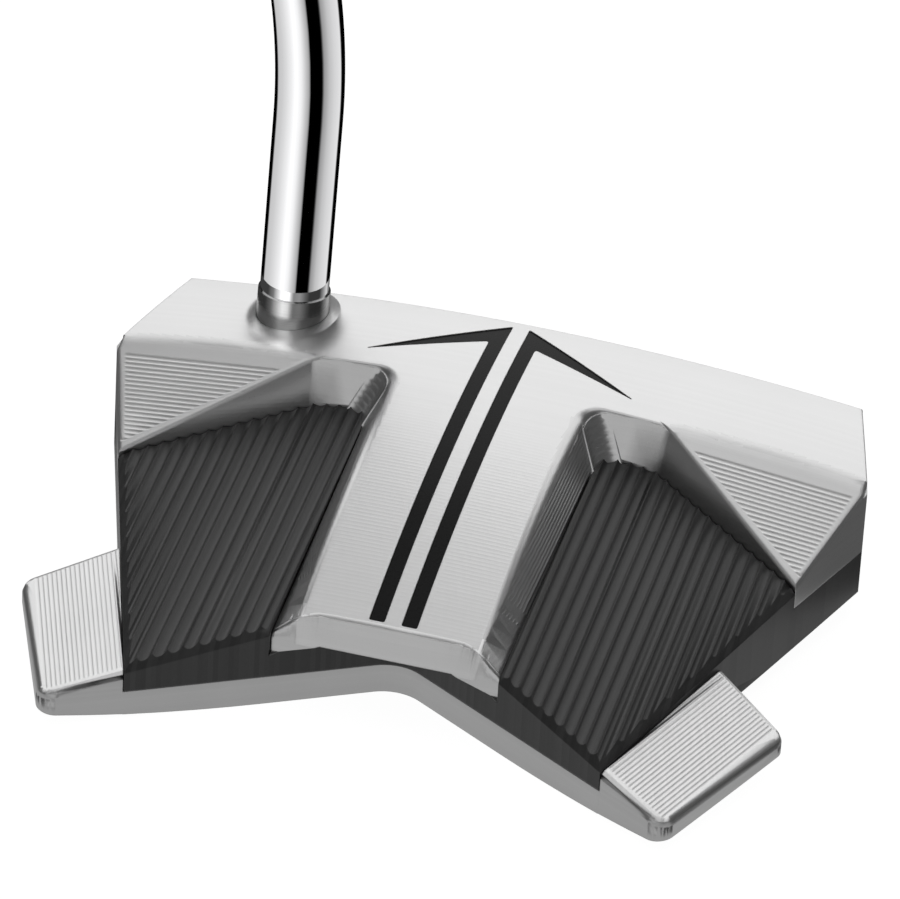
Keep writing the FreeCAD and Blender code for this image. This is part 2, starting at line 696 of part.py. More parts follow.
def toe_weight_parts():
    """The toe weight, its washer and the room that they take."""
    point = Vector(size("weight_x"), -size("weight_setback"), size("weight_sink"))
    over_head = point + Vector(0, 0, size("weight_head_depth"))
    over_washer = over_head + Vector(0, 0, size("washer_thick"))
    head = rod("weight_head_disc", "weight_head / 2", "weight_head_depth", point)
    shank = rod("weight_thread", "weight_body / 2", "weight_body_depth", over_head)
    holes = []
    for label, side in (("a", 1), ("b", -1)):
        spot = point + Vector(0, side * size("weight_slot_span") / 2, 0)
        holes.append(rod("spanner_hole_" + label, "weight_slot / 2", "weight_head_depth", spot))
    weight = cut("toe_weight", fuse("weight_solid", head, shank), *holes)
    disc = rod("washer_disc", "weight_head / 2", "washer_thick", over_head)
    bore = rod("washer_bore", "weight_body / 2 + fit_gap", "washer_thick", over_head)
    washer = cut("toe_washer", disc, bore)
    mouth = rod("weight_mouth", "weight_head / 2 + fit_gap", "reach", over_washer,
                Vector(0, 0, -1))
    room = rod("weight_bore", "weight_body / 2 + fit_gap", "weight_body_depth + fit_gap", over_head)
    return weight, washer, fuse("toe_weight_room", mouth, room)


toe_weight, toe_washer, weight_room = toe_weight_parts()
heel_weight = other_side("heel_weight", toe_weight)
weight_washers = group("weight_washers", toe_washer, other_side("heel_washer", toe_washer))
weight_rooms = [weight_room, other_side("heel_weight_room", weight_room)]

# ---------------------------------------------------------------------------
# Adhesive films between the layers

window_holes = [window, other_side("heel_window_copy", window)]
upper_film = cut("upper_bond_film", common("film_under_upper", head_outline, deck_roof),
                 deck_top, *window_holes, *main_wide, *pin_holes)
film_roof = half_space("film_roof", Vector(0, 0, size("plate_top") + size("film")), Vector(0, 0, 1))
under_film = half_space("under_film", Vector(0, 0, size("plate_top")), Vector(0, 0, -1))
inside_side = half_space("inside_side", rear_point, side_out * -1)
film_area = common("film_area", plate_outline, inside_side, other_side("inside_heel", inside_side))
sole_film = cut("sole_bond_film", film_area, film_roof, under_film,
                *main_wide, *rear_wide, *weight_rooms)

# ---------------------------------------------------------------------------
# Hosel post: its lower part is glued into the head, its upper part into the
# shaft, and the collar between them shows

forward = math.radians(size("hosel_forward"))
leg = Vector(0, math.sin(forward), math.cos(forward))
head_point = Vector(-size("hosel_x"), -size("hosel_setback"),
                    top_height(size("hosel_x"), -size("hosel_setback")))
seat_point = head_point - leg * size("collar_seat")
shaft_start = head_point + leg * size("collar_height")

collar = rod("collar", "collar_size / 2", "collar_seat + collar_height", seat_point, leg)
low_post = rod("low_post", "post_low_size / 2", "post_low_depth", seat_point, leg * -1)
high_post = rod("high_post", "shaft_tip / 2 - shaft_wall - bond_gap", "post_high_length",
                shaft_start, leg)
hosel_post = fuse("hosel_post", collar, low_post, high_post)
low_bore = rod("hosel_bore", "post_low_size / 2 + bond_gap", "post_low_depth", seat_point, leg * -1)
collar_bore = rod("collar_bore", "collar_size / 2 + thread_gap", "blank_height", seat_point, leg)
hosel_bond = cut("hosel_bond", rod("low_bond", "post_low_size / 2 + bond_gap", "post_low_depth",
                                   seat_point, leg * -1),
                 rod("low_bond_bore", "post_low_size / 2", "post_low_depth", seat_point, leg * -1))
shaft_bond = cut("shaft_bond", rod("high_bond", "shaft_tip / 2 - shaft_wall", "post_high_length",
                                   shaft_start, leg),
                 rod("high_bond_bore", "shaft_tip / 2 - shaft_wall - bond_gap",
                     "post_high_length", shaft_start, leg))

# ---------------------------------------------------------------------------
# Shaft: straight lower leg, one bend, long leg in steps up to the grip

lie = math.radians(size("lie_angle"))
long_leg = Vector(-math.cos(lie), 0, math.sin(lie))
bend_angle = math.degrees(math.acos(leg.dot(long_leg)))
bend_axis = leg.cross(long_leg).normalize()
bend_start = shaft_start + leg * size("lower_leg")
to_centre = bend_axis.cross(leg)
bend_centre = bend_start + to_centre * size("bend_radius")
bend_turn = Rotation(to_centre * -1, leg, bend_axis, "ZXY")
swing = Rotation(bend_axis, bend_angle)
bend_end = bend_centre + swing.multVec(bend_start - bend_centre)
bend_end_at = bend_end.z / long_leg.z     # along the shaft, from the ground


def along_shaft(distance):
    """The point on the long leg's axis at a distance from the ground."""
    return bend_end + long_leg * (distance - bend_end_at)


def shaft_solid(name, inset):
    """The shaft's outside, or its bore when the inset is the wall."""
    def radius(count):
        step = "(shaft_butt - shaft_tip) / 2 / step_count * %d" % count
        return "shaft_tip / 2 - %s + %s" % (inset, step)
    pieces = [rod(name + "_lower_leg", radius(0), "lower_leg", shaft_start, leg)]
    bend = add("Part::Torus", name + "_bend", Radius1="bend_radius", Radius2=radius(0))
    bend.Angle3 = bend_angle
    pieces.append(place(bend, bend_centre, bend_turn))
    pieces.append(rod(name + "_plain", radius(0), "first_step", bend_end, long_leg))
    distance = bend_end_at + size("first_step")
    for count in range(1, int(size("step_count")) + 1):
        taper = add("Part::Cone", "%s_taper%d" % (name, count), Radius1=radius(count - 1),
                    Radius2=radius(count), Height="step_taper")
        pieces.append(place(taper, along_shaft(distance), Rotation(Vector(0, 0, 1), long_leg)))
        distance += size("step_taper")
        last = count == int(size("step_count"))
        length = size("step_pitch") - size("step_taper")
        if last:
            length = size("club_length") - size("cap_thick") - distance
        part = doc.addObject("Part::Cylinder", "%s_step%d" % (name, count))
        part.setExpression("Radius", cells(radius(count)))
        part.Height = length
        pieces.append(place(part, along_shaft(distance), Rotation(Vector(0, 0, 1), long_leg)))
        distance += length
    return fuse(name, *pieces)


shaft = cut("shaft", shaft_solid("shaft_outside", "0"), shaft_solid("shaft_bore", "shaft_wall"))

# ---------------------------------------------------------------------------
# Grip, its tape and its end cap

grip_start = size("club_length") - size("grip_length")
grip_point = along_shaft(grip_start)
grip_turn = Rotation(Vector(0, 0, 1), long_leg)
cap_point = along_shaft(size("club_length") - size("cap_thick"))
SLEEVE = "grip_length - cap_thick"

tape = cut("grip_tape",
           rod("tape_outside", "shaft_butt / 2 + tape_thick", SLEEVE, grip_point, long_leg),
           rod("tape_bore", "shaft_butt / 2", SLEEVE, grip_point, long_leg))

front_side = Vector(math.sin(lie), 0, math.cos(lie))
flat_low = grip_point + front_side * size("grip_flat")
flat_high = cap_point + front_side * size("grip_flat_top")
level = Vector(0, 1, 0)
flat_normal = level.cross(flat_high - flat_low).normalize()
if flat_normal.dot(front_side) < 0:
    flat_normal = flat_normal * -1
grip_front = half_space("grip_front", flat_low, flat_normal)
grip_cone = add("Part::Cone", "grip_cone", Radius1="grip_mouth / 2", Radius2="grip_top / 2",
                Height=SLEEVE)
place(grip_cone, grip_point, grip_turn)
grip = cut("grip", grip_cone, grip_front,
           rod("grip_bore", "shaft_butt / 2 + tape_thick", SLEEVE, grip_point, long_leg))
cap = cut("grip_cap", rod("cap_disc", "grip_top / 2", "cap_thick", cap_point, long_leg),
          grip_front, rod("cap_vent", "cap_hole / 2", "cap_thick", cap_point, long_leg))

# ---------------------------------------------------------------------------
# Holes, then the list of nodes

upper_body = cut("upper_body", upper_solid, channel, other_side("heel_channel", channel),
                 low_bore, collar_bore, *main_thread, *pin_holes)
mid_body = cut("mid_body", mid, *main_wide, *rear_thread, *pin_holes, *weight_rooms)
sole_plate = cut("sole_plate", plate, *main_wide, *rear_wide, *weight_rooms)

NODES = [
    upper_body, mid_body, sole_plate, upper_film, sole_film,
    bridge_screws, wing_screws, rear_screws, dowel_pins,
    toe_weight, heel_weight, weight_washers,
    toe_paint, heel_paint,
    hosel_post, hosel_bond, shaft_bond, shaft,
    tape, grip, cap,
]

doc.recompute()
for item in doc.Objects:
    if "Invalid" in item.State or "Error" in item.State:
        raise RuntimeError("%s failed: %s" % (item.Name, item.State))
os.makedirs("parts", exist_ok=True)
for item in NODES:
    shape = item.Shape
    if shape.isNull() or not shape.isValid():
        raise RuntimeError(item.Name + " has no valid shape")
    item.Label = item.Name
    shape.exportStep("parts/" + item.Name + ".step")
    print("%-18s %2d solids %10.1f mm3" % (item.Name, len(shape.Solids), shape.Volume))
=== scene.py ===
import math

import bmesh
import bpy
from mathutils import Matrix, Vector


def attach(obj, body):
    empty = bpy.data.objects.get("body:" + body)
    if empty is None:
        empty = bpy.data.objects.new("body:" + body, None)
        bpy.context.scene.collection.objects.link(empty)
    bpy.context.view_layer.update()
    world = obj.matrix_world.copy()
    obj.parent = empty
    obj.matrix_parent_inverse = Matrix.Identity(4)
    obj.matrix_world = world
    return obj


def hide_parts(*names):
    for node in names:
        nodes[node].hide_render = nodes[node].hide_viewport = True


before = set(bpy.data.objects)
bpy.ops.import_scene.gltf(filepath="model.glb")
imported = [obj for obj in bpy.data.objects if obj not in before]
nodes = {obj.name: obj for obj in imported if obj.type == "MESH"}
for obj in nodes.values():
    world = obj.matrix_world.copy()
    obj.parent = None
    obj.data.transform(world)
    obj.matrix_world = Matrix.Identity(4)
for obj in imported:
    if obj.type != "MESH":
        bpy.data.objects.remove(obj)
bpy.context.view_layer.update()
scene = bpy.context.scene

# ---------------------------------------------------------------------------
# Sole plate. Milled from one piece of stainless steel, with two feet that stand
# out at the rear; it is bonded and screwed under the mid body. A small ball
# cutter leaves fine flutes on the feet, and their free edges are chamfered.

FOOT = [Vector((41.34, -48.4, 8.7)), Vector((52.24, -56.4, 5.75)),
        Vector((41.84, -80.0, 4.2)), Vector((32.1, -74.4, 6.95))]
FOOT_ROUND = 2.2
FOOT_CHAMFER = 0.85
FOOT_FLUTES = {"Pitch": 0.62, "Depth": 0.085, "Count": 18, "Start": 0.5, "Start slope": 0.26,
               "End": 26.3, "End slope": 0.144, "Runout": 0.5, "Height": 2.0}


def placed(name, data):
    """A new object in the scene."""
    made = bpy.data.objects.new(name, data)
    scene.collection.objects.link(made)
    return made


def face_outwards(piece):
    """Welds a piece and turns its faces outwards."""
    shape = bmesh.new()
    shape.from_mesh(piece.data)
    bmesh.ops.remove_doubles(shape, verts=shape.verts, dist=1e-5)
    bmesh.ops.triangulate(shape, faces=shape.faces)
    bmesh.ops.recalc_face_normals(shape, faces=shape.faces)
    shape.to_mesh(piece.data)
    shape.free()
    return piece


def solid(name, points, faces):
    """A closed mesh from points in millimetres, with its faces outwards."""
    mesh = bpy.data.meshes.new(name)
    mesh.from_pydata([tuple(p) for p in points], [], faces)
    return face_outwards(placed(name, mesh))


def working_copy(name):
    """A merged copy of a solid, in millimetres, ready to be milled."""
    shape = bmesh.new()
    shape.from_mesh(nodes[name].data)
    bmesh.ops.scale(shape, vec=(1000.0, 1000.0, 1000.0), verts=shape.verts)
    bmesh.ops.remove_doubles(shape, verts=shape.verts, dist=1e-3)
    bmesh.ops.dissolve_limit(shape, angle_limit=math.radians(0.02), verts=shape.verts,
                             edges=shape.edges)
    bmesh.ops.triangulate(shape, faces=shape.faces)
    mesh = bpy.data.meshes.new(name + "_milled")
    shape.to_mesh(mesh)
    shape.free()
    return placed(name + "_milled", mesh)


def mirrored(piece, name):
    """The same tool for the heel side."""
    mesh = piece.data.copy()
    mesh.transform(Matrix.Scale(-1, 4, (1, 0, 0)))
    return face_outwards(placed(name, mesh))


def applied(piece):
    """The piece's mesh as its modifiers leave it."""
    bpy.context.view_layer.update()
    graph = bpy.context.evaluated_depsgraph_get()
    mesh = bpy.data.meshes.new_from_object(piece.evaluated_get(graph))
    piece.modifiers.clear()
    return mesh


def carve(piece, operation, *tools):
    """Cuts tools from a piece, joins them to it, or keeps what they share."""
    for tool in tools:
        step = piece.modifiers.new(tool.name, "BOOLEAN")
        step.operation = operation
        step.solver = "EXACT"
        step.object = tool
    piece.data = applied(piece)
    shape = bmesh.new()
    shape.from_mesh(piece.data)
    bmesh.ops.remove_doubles(shape, verts=shape.verts, dist=5e-4)
    bmesh.ops.dissolve_degenerate(shape, dist=5e-4, edges=shape.edges)
    shape.to_mesh(piece.data)
    shape.free()
    for tool in tools:
        bpy.data.objects.remove(tool)


def mill(piece, make):
    """Cuts a tool and its mirror twin from a piece."""
    tool = make()
    carve(piece, "DIFFERENCE", tool, mirrored(tool, "heel_" + tool.name))


def bands(rings, count, closed=False):
    """Faces between rings of points, and from the last back to the first if closed."""
    faces = []
    for r in range(rings if closed else rings - 1):
        for k in range(count):
            a, b = r * count + k, r * count + (k + 1) % count
            after = (r + 1) % rings * count - r * count
            faces.append((a, b, b + after, a + after))
    return faces


def loft(name, rings):
    """A closed solid through rings of points, with flat ends."""
    count = len(rings[0])
    points = [p for ring in rings for p in ring]
    ends = [tuple(range(count)), tuple(range(len(points) - count, len(points)))]
    return solid(name, points, ends + bands(len(rings), count))


def edge_tool(name, stations, steps):
    """A tool that takes the sharp edge off along a run of stations.

    A station is the corner, the two directions that lead from it over the
    faces, and the width taken from each; one step makes a flat chamfer."""
    rings = []
    for corner, a, b, width in stations:
        a = a.normalized()
        b = b.normalized()
        half = a.angle(b) / 2
        middle = (a + b).normalized()
        centre = corner + middle * (width / math.cos(half))
        first = corner + a * width - centre
        last = corner + b * width - centre
        over_a = (a * a.dot(b) - b).normalized()
        over_b = (b * a.dot(b) - a).normalized()
        ring = [centre + first + over_a * 0.6]
        for k in range(steps + 1):
            ring.append(centre + first.slerp(last, k / steps) * first.length)
        ring.append(centre + last + over_b * 0.6)
        ring.append(corner - middle * 1.6)
        rings.append(ring)
    return loft(name, rings)


def rounded_path(corners, radius, steps=5):
    """Points and headings along straight runs joined by arcs, seen from above."""
    out = []
    for i, corner in enumerate(corners):
        if i in (0, len(corners) - 1):
            run = corners[1] - corners[0] if i == 0 else corners[-1] - corners[-2]
            out.append((corner, run.normalized()))
            continue
        before = (corner - corners[i - 1]).normalized()
        after = (corners[i + 1] - corner).normalized()
        turn = before.angle(after)
        reach = radius * math.tan(turn / 2)
        side = (after - before).normalized()
        centre = corner + side * (radius / math.cos(turn / 2))
        start = corner - before * reach - centre
        end = corner + after * reach - centre
        for k in range(steps + 1):
            arm = start.slerp(end, k / steps) * radius
            heading = before.slerp(after, k / steps)
            out.append((centre + arm, heading))
    return out


def wire(tree, socket, value):
    """Sets a socket to a value, or links another node's output to it."""
    if isinstance(value, bpy.types.NodeSocket):
        tree.links.new(value, socket)
    else:
        socket.default_value = value


def number(tree, operation, *values):
    """A math node; each value is a number or another node's output."""
    made = tree.nodes.new("ShaderNodeMath")
    made.operation = operation
    for socket, value in zip(made.inputs, values):
        wire(tree, socket, value)
    return made.outputs[0]


def node(tree, kind, **values):
    """A node with its sockets set by name; a value may be another output."""
    made = tree.nodes.new(kind)
    for name, value in values.items():
        wire(tree, made.inputs[name.replace("_", " ")], value)
    return made


def new_group(name, kind, inputs, outputs):
    """A node group with its sockets, and its two ends."""
    tree = bpy.data.node_groups.new(name, kind)
    for socket, sort, value in inputs:
        item = tree.interface.new_socket(socket, in_out="INPUT", socket_type="NodeSocket" + sort)
        if value is not None:
            item.default_value = value
    for socket, sort in outputs:
        tree.interface.new_socket(socket, in_out="OUTPUT", socket_type="NodeSocket" + sort)
    return tree, tree.nodes.new("NodeGroupInput").outputs, tree.nodes.new("NodeGroupOutput").inputs


def flute_nodes():
    """Geometry nodes: a block with a row of round-bottomed flutes underneath.

    Across is the node's X and along is its Y; each end runs out upwards."""
    names = ("Pitch", "Depth", "Start", "Start slope", "End", "End slope", "Runout", "Height")
    tree, given, out = new_group(
        "ball_cutter_flutes", "GeometryNodeTree",
        [("Geometry", "Geometry", None), ("Count", "Int", None)]
        + [(name, "Float", None) for name in names], [("Geometry", "Geometry")])

    def calc(operation, *values):
        return number(tree, operation, *values)

    pitch, depth, runout = given["Pitch"], given["Depth"], given["Runout"]
    grid = node(tree, "GeometryNodeMeshGrid", Size_X=1.0, Size_Y=1.0, Vertices_Y=4,
                Vertices_X=calc("MULTIPLY_ADD", given["Count"], 8.0, 1.0))
    apart = node(tree, "ShaderNodeSeparateXYZ",
                 Vector=node(tree, "GeometryNodeInputPosition").outputs[0])
    across = calc("MULTIPLY", calc("ADD", apart.outputs["X"], 0.5),
                  calc("MULTIPLY", pitch, given["Count"]))
    phase = calc("FRACT", calc("ADD", calc("DIVIDE", across, pitch), 1e-5))
    off = calc("MULTIPLY", calc("SUBTRACT", phase, 0.5), pitch)
    quarter = calc("DIVIDE", calc("MULTIPLY", pitch, pitch), 4.0)
    radius = calc("DIVIDE", calc("ADD", quarter, calc("MULTIPLY", depth, depth)),
                  calc("MULTIPLY", depth, 2.0))
    inside = calc("SUBTRACT", calc("MULTIPLY", radius, radius), calc("MULTIPLY", off, off))
    sunk = calc("SUBTRACT", calc("SUBTRACT", radius, calc("SQRT", inside)), depth)
    share = calc("ADD", apart.outputs["Y"], 0.5)
    start = calc("MULTIPLY_ADD", across, given["Start slope"], given["Start"])
    end = calc("MAXIMUM", calc("MULTIPLY_ADD", across, given["End slope"], given["End"]),
               calc("MULTIPLY_ADD", runout, 2.2, start))
    from_start = calc("MULTIPLY_ADD", calc("MULTIPLY", share, 3.0), runout, start)
    left = calc("MULTIPLY", calc("SUBTRACT", 1.0, share), 3.0)
    to_end = calc("SUBTRACT", end, calc("MULTIPLY", left, runout))
    along = calc("MULTIPLY_ADD", calc("SUBTRACT", to_end, from_start),
                 calc("GREATER_THAN", share, 0.5), from_start)
    at_end = calc("GREATER_THAN", calc("ABSOLUTE", apart.outputs["Y"]), 0.4)
    level = calc("MULTIPLY", sunk, calc("SUBTRACT", 1.0, at_end))
    level = calc("MULTIPLY_ADD", at_end, 0.03, level)
    spot = node(tree, "ShaderNodeCombineXYZ", X=across, Y=along, Z=level)
    put = node(tree, "GeometryNodeSetPosition", Geometry=grid.outputs["Mesh"],
               Position=spot.outputs[0])
    lift = node(tree, "ShaderNodeCombineXYZ", Z=given["Height"])
    extrude = node(tree, "GeometryNodeExtrudeMesh", Mesh=put.outputs[0], Offset=lift.outputs[0],
                   Individual=False)
    flip = node(tree, "GeometryNodeFlipFaces", Mesh=put.outputs[0])
    join = node(tree, "GeometryNodeJoinGeometry")
    for part in (extrude, flip):
        tree.links.new(part.outputs[0], join.inputs[0])
    weld = node(tree, "GeometryNodeMergeByDistance", Geometry=join.outputs[0], Distance=1e-4)
    real = node(tree, "GeometryNodeRealizeInstances", Geometry=weld.outputs[0])
    finish = node(tree, "GeometryNodeSetMaterial", Geometry=real.outputs[0])
    tree.links.new(finish.outputs[0], out[0])
    return tree


FLUTE_NODES = flute_nodes()


def flute_tool(name, origin, across, along, sizes):
    """The fluted block, set on a surface with its flutes along a direction."""
    tool = placed(name, bpy.data.meshes.new(name))
    step = tool.modifiers.new("flutes", "NODES")
    step.node_group = FLUTE_NODES
    for item in FLUTE_NODES.interface.items_tree:
        if item.in_out == "INPUT" and item.name in sizes:
            step[item.identifier] = sizes[item.name]
    tool.data = applied(tool)
    across = across.normalized()
    up = across.cross(along).normalized()
    if up.z < 0:
        up = -up
    turn = Matrix((across, along.normalized(), up)).transposed().to_4x4()
    tool.data.transform(Matrix.Translation(origin) @ turn)
    return face_outwards(tool)


def finish_piece(piece, material, slot, *replaced):
    """Millimetres to metres, crisp edges, looks, and the place in the frame."""
    piece.data.transform(Matrix.Scale(0.001, 4))
    finishes = [face.material_index for face in piece.data.polygons]
    piece.data.materials.clear()
    for one in material:
        piece.data.materials.append(one)
    for face, finish in zip(piece.data.polygons, finishes):
        face.material_index = min(finish, len(material) - 1)
        face.use_smooth = True
    piece.data.set_sharp_from_angle(angle=math.radians(24))
    weigh = piece.modifiers.new("weigh", "WEIGHTED_NORMAL")
    weigh.keep_sharp = True
    weigh.weight = 90
    piece.data = applied(piece)
    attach(piece, "root")
    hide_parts(*replaced)


def plane_height(points, x, y):
    """Height over (x, y) of the plane through three points."""
    normal = (points[1] - points[0]).cross(points[2] - points[0])
    return points[0].z - (normal.x * (x - points[0].x) + normal.y * (y - points[0].y)) / normal.z


def foot_point(x, y):
    """The point of the toe foot's top over (x, y)."""
    return Vector((x, y, plane_height([FOOT[0], FOOT[1], FOOT[3]], x, y)))


def foot_chamfer():
    """The chamfer round the three free edges of the toe foot."""
    corners = [Vector((p.x, p.y, 0)) for p in FOOT]
    before = corners[0] - (corners[1] - corners[0]).normalized() * 0.2
    after = corners[3] + (corners[3] - corners[2]).normalized() * 0.2
    stations = []
    for place, heading in rounded_path([before, corners[1], corners[2], after], FOOT_ROUND):
        corner = foot_point(place.x, place.y)
        inward = Vector((heading.y, -heading.x, 0))
        inner = foot_point(place.x + inward.x, place.y + inward.y)
        stations.append((corner, inner - corner, Vector((0, 0, -1)), FOOT_CHAMFER))
    return edge_tool("foot_chamfer", stations, 2)


def foot_flutes():
    """The flutes of the toe foot, which run back and a little inwards."""
    along = Vector((-0.37, -0.929, 0))
    across = Vector((0.929, -0.37, 0))
    corner = FOOT[0]
    along.z = foot_point(corner.x + along.x, corner.y + along.y).z - corner.z
    across.z = foot_point(corner.x + across.x, corner.y + across.y).z - corner.z
    return flute_tool("foot_flutes", corner + across * 0.45, across, along, FOOT_FLUTES)


def new_material(name):
    """A material, its tree and shader, and the piece's own coordinates."""
    material = bpy.data.materials.new(name)
    material.use_nodes = True
    tree = material.node_tree
    place = tree.nodes.new("ShaderNodeTexCoord").outputs["Object"]
    return material, tree, tree.nodes["Principled BSDF"], place


def cutter_marks():
    """Shader group: lines left by a cutter, straight along X, a pitch apart in Y.

    Height is the scalloped surface with fine scratches, Shade varies by line."""
    tree, given, out = new_group(
        "cutter_marks", "ShaderNodeTree",
        [("Vector", "Vector", None), ("Pitch", "Float", 0.0006), ("Scallop", "Float", 1.0),
         ("Scratch", "Float", 0.5)], [("Height", "Float"), ("Shade", "Float")])
    apart = node(tree, "ShaderNodeSeparateXYZ", Vector=given["Vector"])
    lanes = number(tree, "DIVIDE", apart.outputs["Y"], given["Pitch"])
    phase = number(tree, "SUBTRACT", number(tree, "FRACT", lanes), 0.5)
    bowl = number(tree, "MULTIPLY", number(tree, "MULTIPLY", phase, phase), 4.0)
    lane = tree.nodes.new("ShaderNodeTexWhiteNoise")
    lane.noise_dimensions = "1D"
    tree.links.new(number(tree, "FLOOR", lanes), lane.inputs["W"])
    long_way = node(tree, "ShaderNodeVectorMath")
    long_way.operation = "MULTIPLY"
    wire(tree, long_way.inputs[0], given["Vector"])
    wire(tree, long_way.inputs[1], (160.0, 9000.0, 2500.0))
    scratch = node(tree, "ShaderNodeTexNoise", Vector=long_way.outputs[0], Scale=1.0, Detail=3.0,
                   Roughness=0.7).outputs[0]
    rough = number(tree, "MULTIPLY", scratch, given["Scratch"])
    wire(tree, out["Height"], number(tree, "MULTIPLY_ADD", bowl, given["Scallop"], rough))
    wire(tree, out["Shade"], number(tree, "MULTIPLY_ADD", lane.outputs["Value"], 0.5,
                                    number(tree, "MULTIPLY", scratch, 0.5)))
    return tree


def blast_grain():
    """Shader group: the fine, even grain of a blasted or etched surface."""
    tree, given, out = new_group(
        "blast_grain", "ShaderNodeTree", [("Vector", "Vector", None), ("Size", "Float", 0.0001)],
        [("Height", "Float"), ("Cloud", "Float")])
    fine = node(tree, "ShaderNodeTexNoise", Vector=given["Vector"], Detail=2.0,
                Scale=number(tree, "DIVIDE", 1.0, given["Size"]))
    wide = node(tree, "ShaderNodeTexNoise", Vector=given["Vector"], Detail=3.0, Scale=70.0)
    wire(tree, out["Height"], fine.outputs[0])
    wire(tree, out["Cloud"], wide.outputs[0])
    return tree


CUTTER_MARKS = cutter_marks()
BLAST_GRAIN = blast_grain()


def group(tree, which, **values):
    """The outputs of a group, with its inputs set by name."""
    made = tree.nodes.new("ShaderNodeGroup")
    made.node_tree = which
    for name, value in values.items():
        wire(tree, made.inputs[name], value)
    return made.outputs


def grey(value):
    return value, value, value


def two_tone(tree, factor, low, high):
    """A colour that goes from low to high with a factor."""
    ramp = tree.nodes.new("ShaderNodeMix")
    ramp.data_type = "RGBA"
    tree.links.new(factor, ramp.inputs["Factor"])
    ramp.inputs[6].default_value = (*low, 1.0)
    ramp.inputs[7].default_value = (*high, 1.0)
    return ramp.outputs[2]


def span(tree, factor, low, high):
    """A factor from 0 to 1 stretched to a span."""
    return number(tree, "MULTIPLY_ADD", factor, high - low, low)


def bump(tree, height, strength, distance, **normal):
    return node(tree, "ShaderNodeBump", Height=height, Strength=strength, Distance=distance,
                **normal).outputs[0]


def milled_metal(name, low, high, rough, pitch, scallop, scratch, lift, turn=(0, 0, 0),
                 spread=0.06, shade=0.5, grain=0.00009, etch=0.5, metallic=1.0, specular=0.5,
                 fades=None):
    """A machined surface: cutter marks, fine grain, and edges just broken.

    Turn, in degrees, sets the way the marks run; they fade between two setbacks."""
    material, tree, shader, place = new_material(name)
    mapping = node(tree, "ShaderNodeMapping", Vector=place,
                   Rotation=[math.radians(angle) for angle in turn])
    marks = group(tree, CUTTER_MARKS, Vector=mapping.outputs[0], Pitch=pitch, Scallop=scallop,
                  Scratch=scratch)
    grains = group(tree, BLAST_GRAIN, Vector=place, Size=grain)
    tone = number(tree, "MULTIPLY_ADD", marks["Shade"], shade,
                  number(tree, "MULTIPLY", grains["Cloud"], 1 - shade))
    edge = node(tree, "ShaderNodeBevel", Radius=0.0002)
    edge.samples = 4
    strength = 1.0
    if fades:
        apart = node(tree, "ShaderNodeSeparateXYZ", Vector=place)
        ramp = number(tree, "DIVIDE", number(tree, "ADD", apart.outputs["Y"], fades[0]),
                      fades[0] - fades[1])
        strength = number(tree, "MINIMUM", number(tree, "MAXIMUM", ramp, 0.12), 1.0)
    coarse = bump(tree, marks["Height"], strength, lift, Normal=edge.outputs[0])
    for socket, value in (
            ("Base Color", two_tone(tree, tone, low, high)),
            ("Roughness", span(tree, grains["Height"], rough - spread, rough + spread)),
            ("Metallic", metallic), ("Specular IOR Level", specular),
            ("Normal", bump(tree, grains["Height"], etch, 0.000008, Normal=coarse))):
        wire(tree, shader.inputs[socket], value)
    return material


# The sole plate's sides, chamfers and underside take a darker grey than the upturned tops of its
# feet. This is painted shade on the faces that do not face up and painted light on the tops, on top
# of the real difference in how they are milled.
sole_steel_shaded = milled_metal("sole_steel_shaded", grey(0.50), grey(0.62), rough=0.34, pitch=0.0004,
                          scallop=0.4, scratch=0.8, lift=0.000004, turn=(90, 0, 0))
foot_steel_lit = milled_metal("foot_steel_lit", grey(0.66), grey(0.80), rough=0.32, pitch=0.0003,
                          scallop=0.3, scratch=0.8, lift=0.000004, turn=(0, 0, 70))

sole_plate = working_copy("sole_plate")
toe_chamfer = foot_chamfer()
toe_flutes = foot_flutes()
heel_chamfer = mirrored(toe_chamfer, "heel_foot_chamfer")
heel_flutes = mirrored(toe_flutes, "heel_foot_flutes")
carve(sole_plate, "DIFFERENCE", toe_flutes, heel_flutes, toe_chamfer, heel_chamfer)
# Faces that point up and lie higher than 4.5 mm take the lighter grey: painted light on the feet's
# tops. All other faces take the darker grey: painted shade.
for face in sole_plate.data.polygons:
    face.material_index = 1 if face.normal.z > 0.6 and face.center.z > 4.5 else 0
finish_piece(sole_plate, [sole_steel_shaded, foot_steel_lit], "stainless", "sole_plate")

# ---------------------------------------------------------------------------
# Mid body. Milled from aluminium and anodised black; its two decks fill the
# windows of the upper body. A ball cutter run front to rear leaves their
# flutes, which end in scallops at the bevelled lip.

DECK_FLUTES = {"Pitch": 1.78, "Depth": 0.42, "Count": 19, "Start": -3.0, "Start slope": 0.0,
               "End": 62.0, "End slope": 0.0, "Runout": 0.01, "Height": 3.0}
FLOOR_FALL = 0.145
FLOOR_CANT = 0.125
FLOOR_HIGH = 18.3
WINDOW_FRONT = -18.5
BRIDGE_FOOT = 16.0


def floor_level(x, y):
    """Height of the deck floor over a point; it falls back and outwards."""
    return FLOOR_HIGH - FLOOR_FALL * (WINDOW_FRONT - y) - FLOOR_CANT * (abs(x) - BRIDGE_FOOT)


def deck_flutes():
    """The flutes of the toe deck, which run straight back over its floor."""
    start = Vector((15.1, -18.6, floor_level(15.1, -18.6)))
    across = Vector((1, 0, -FLOOR_CANT))
    along = Vector((0, -1, -FLOOR_FALL))
    return flute_tool("deck_flutes", start, across, along, DECK_FLUTES)


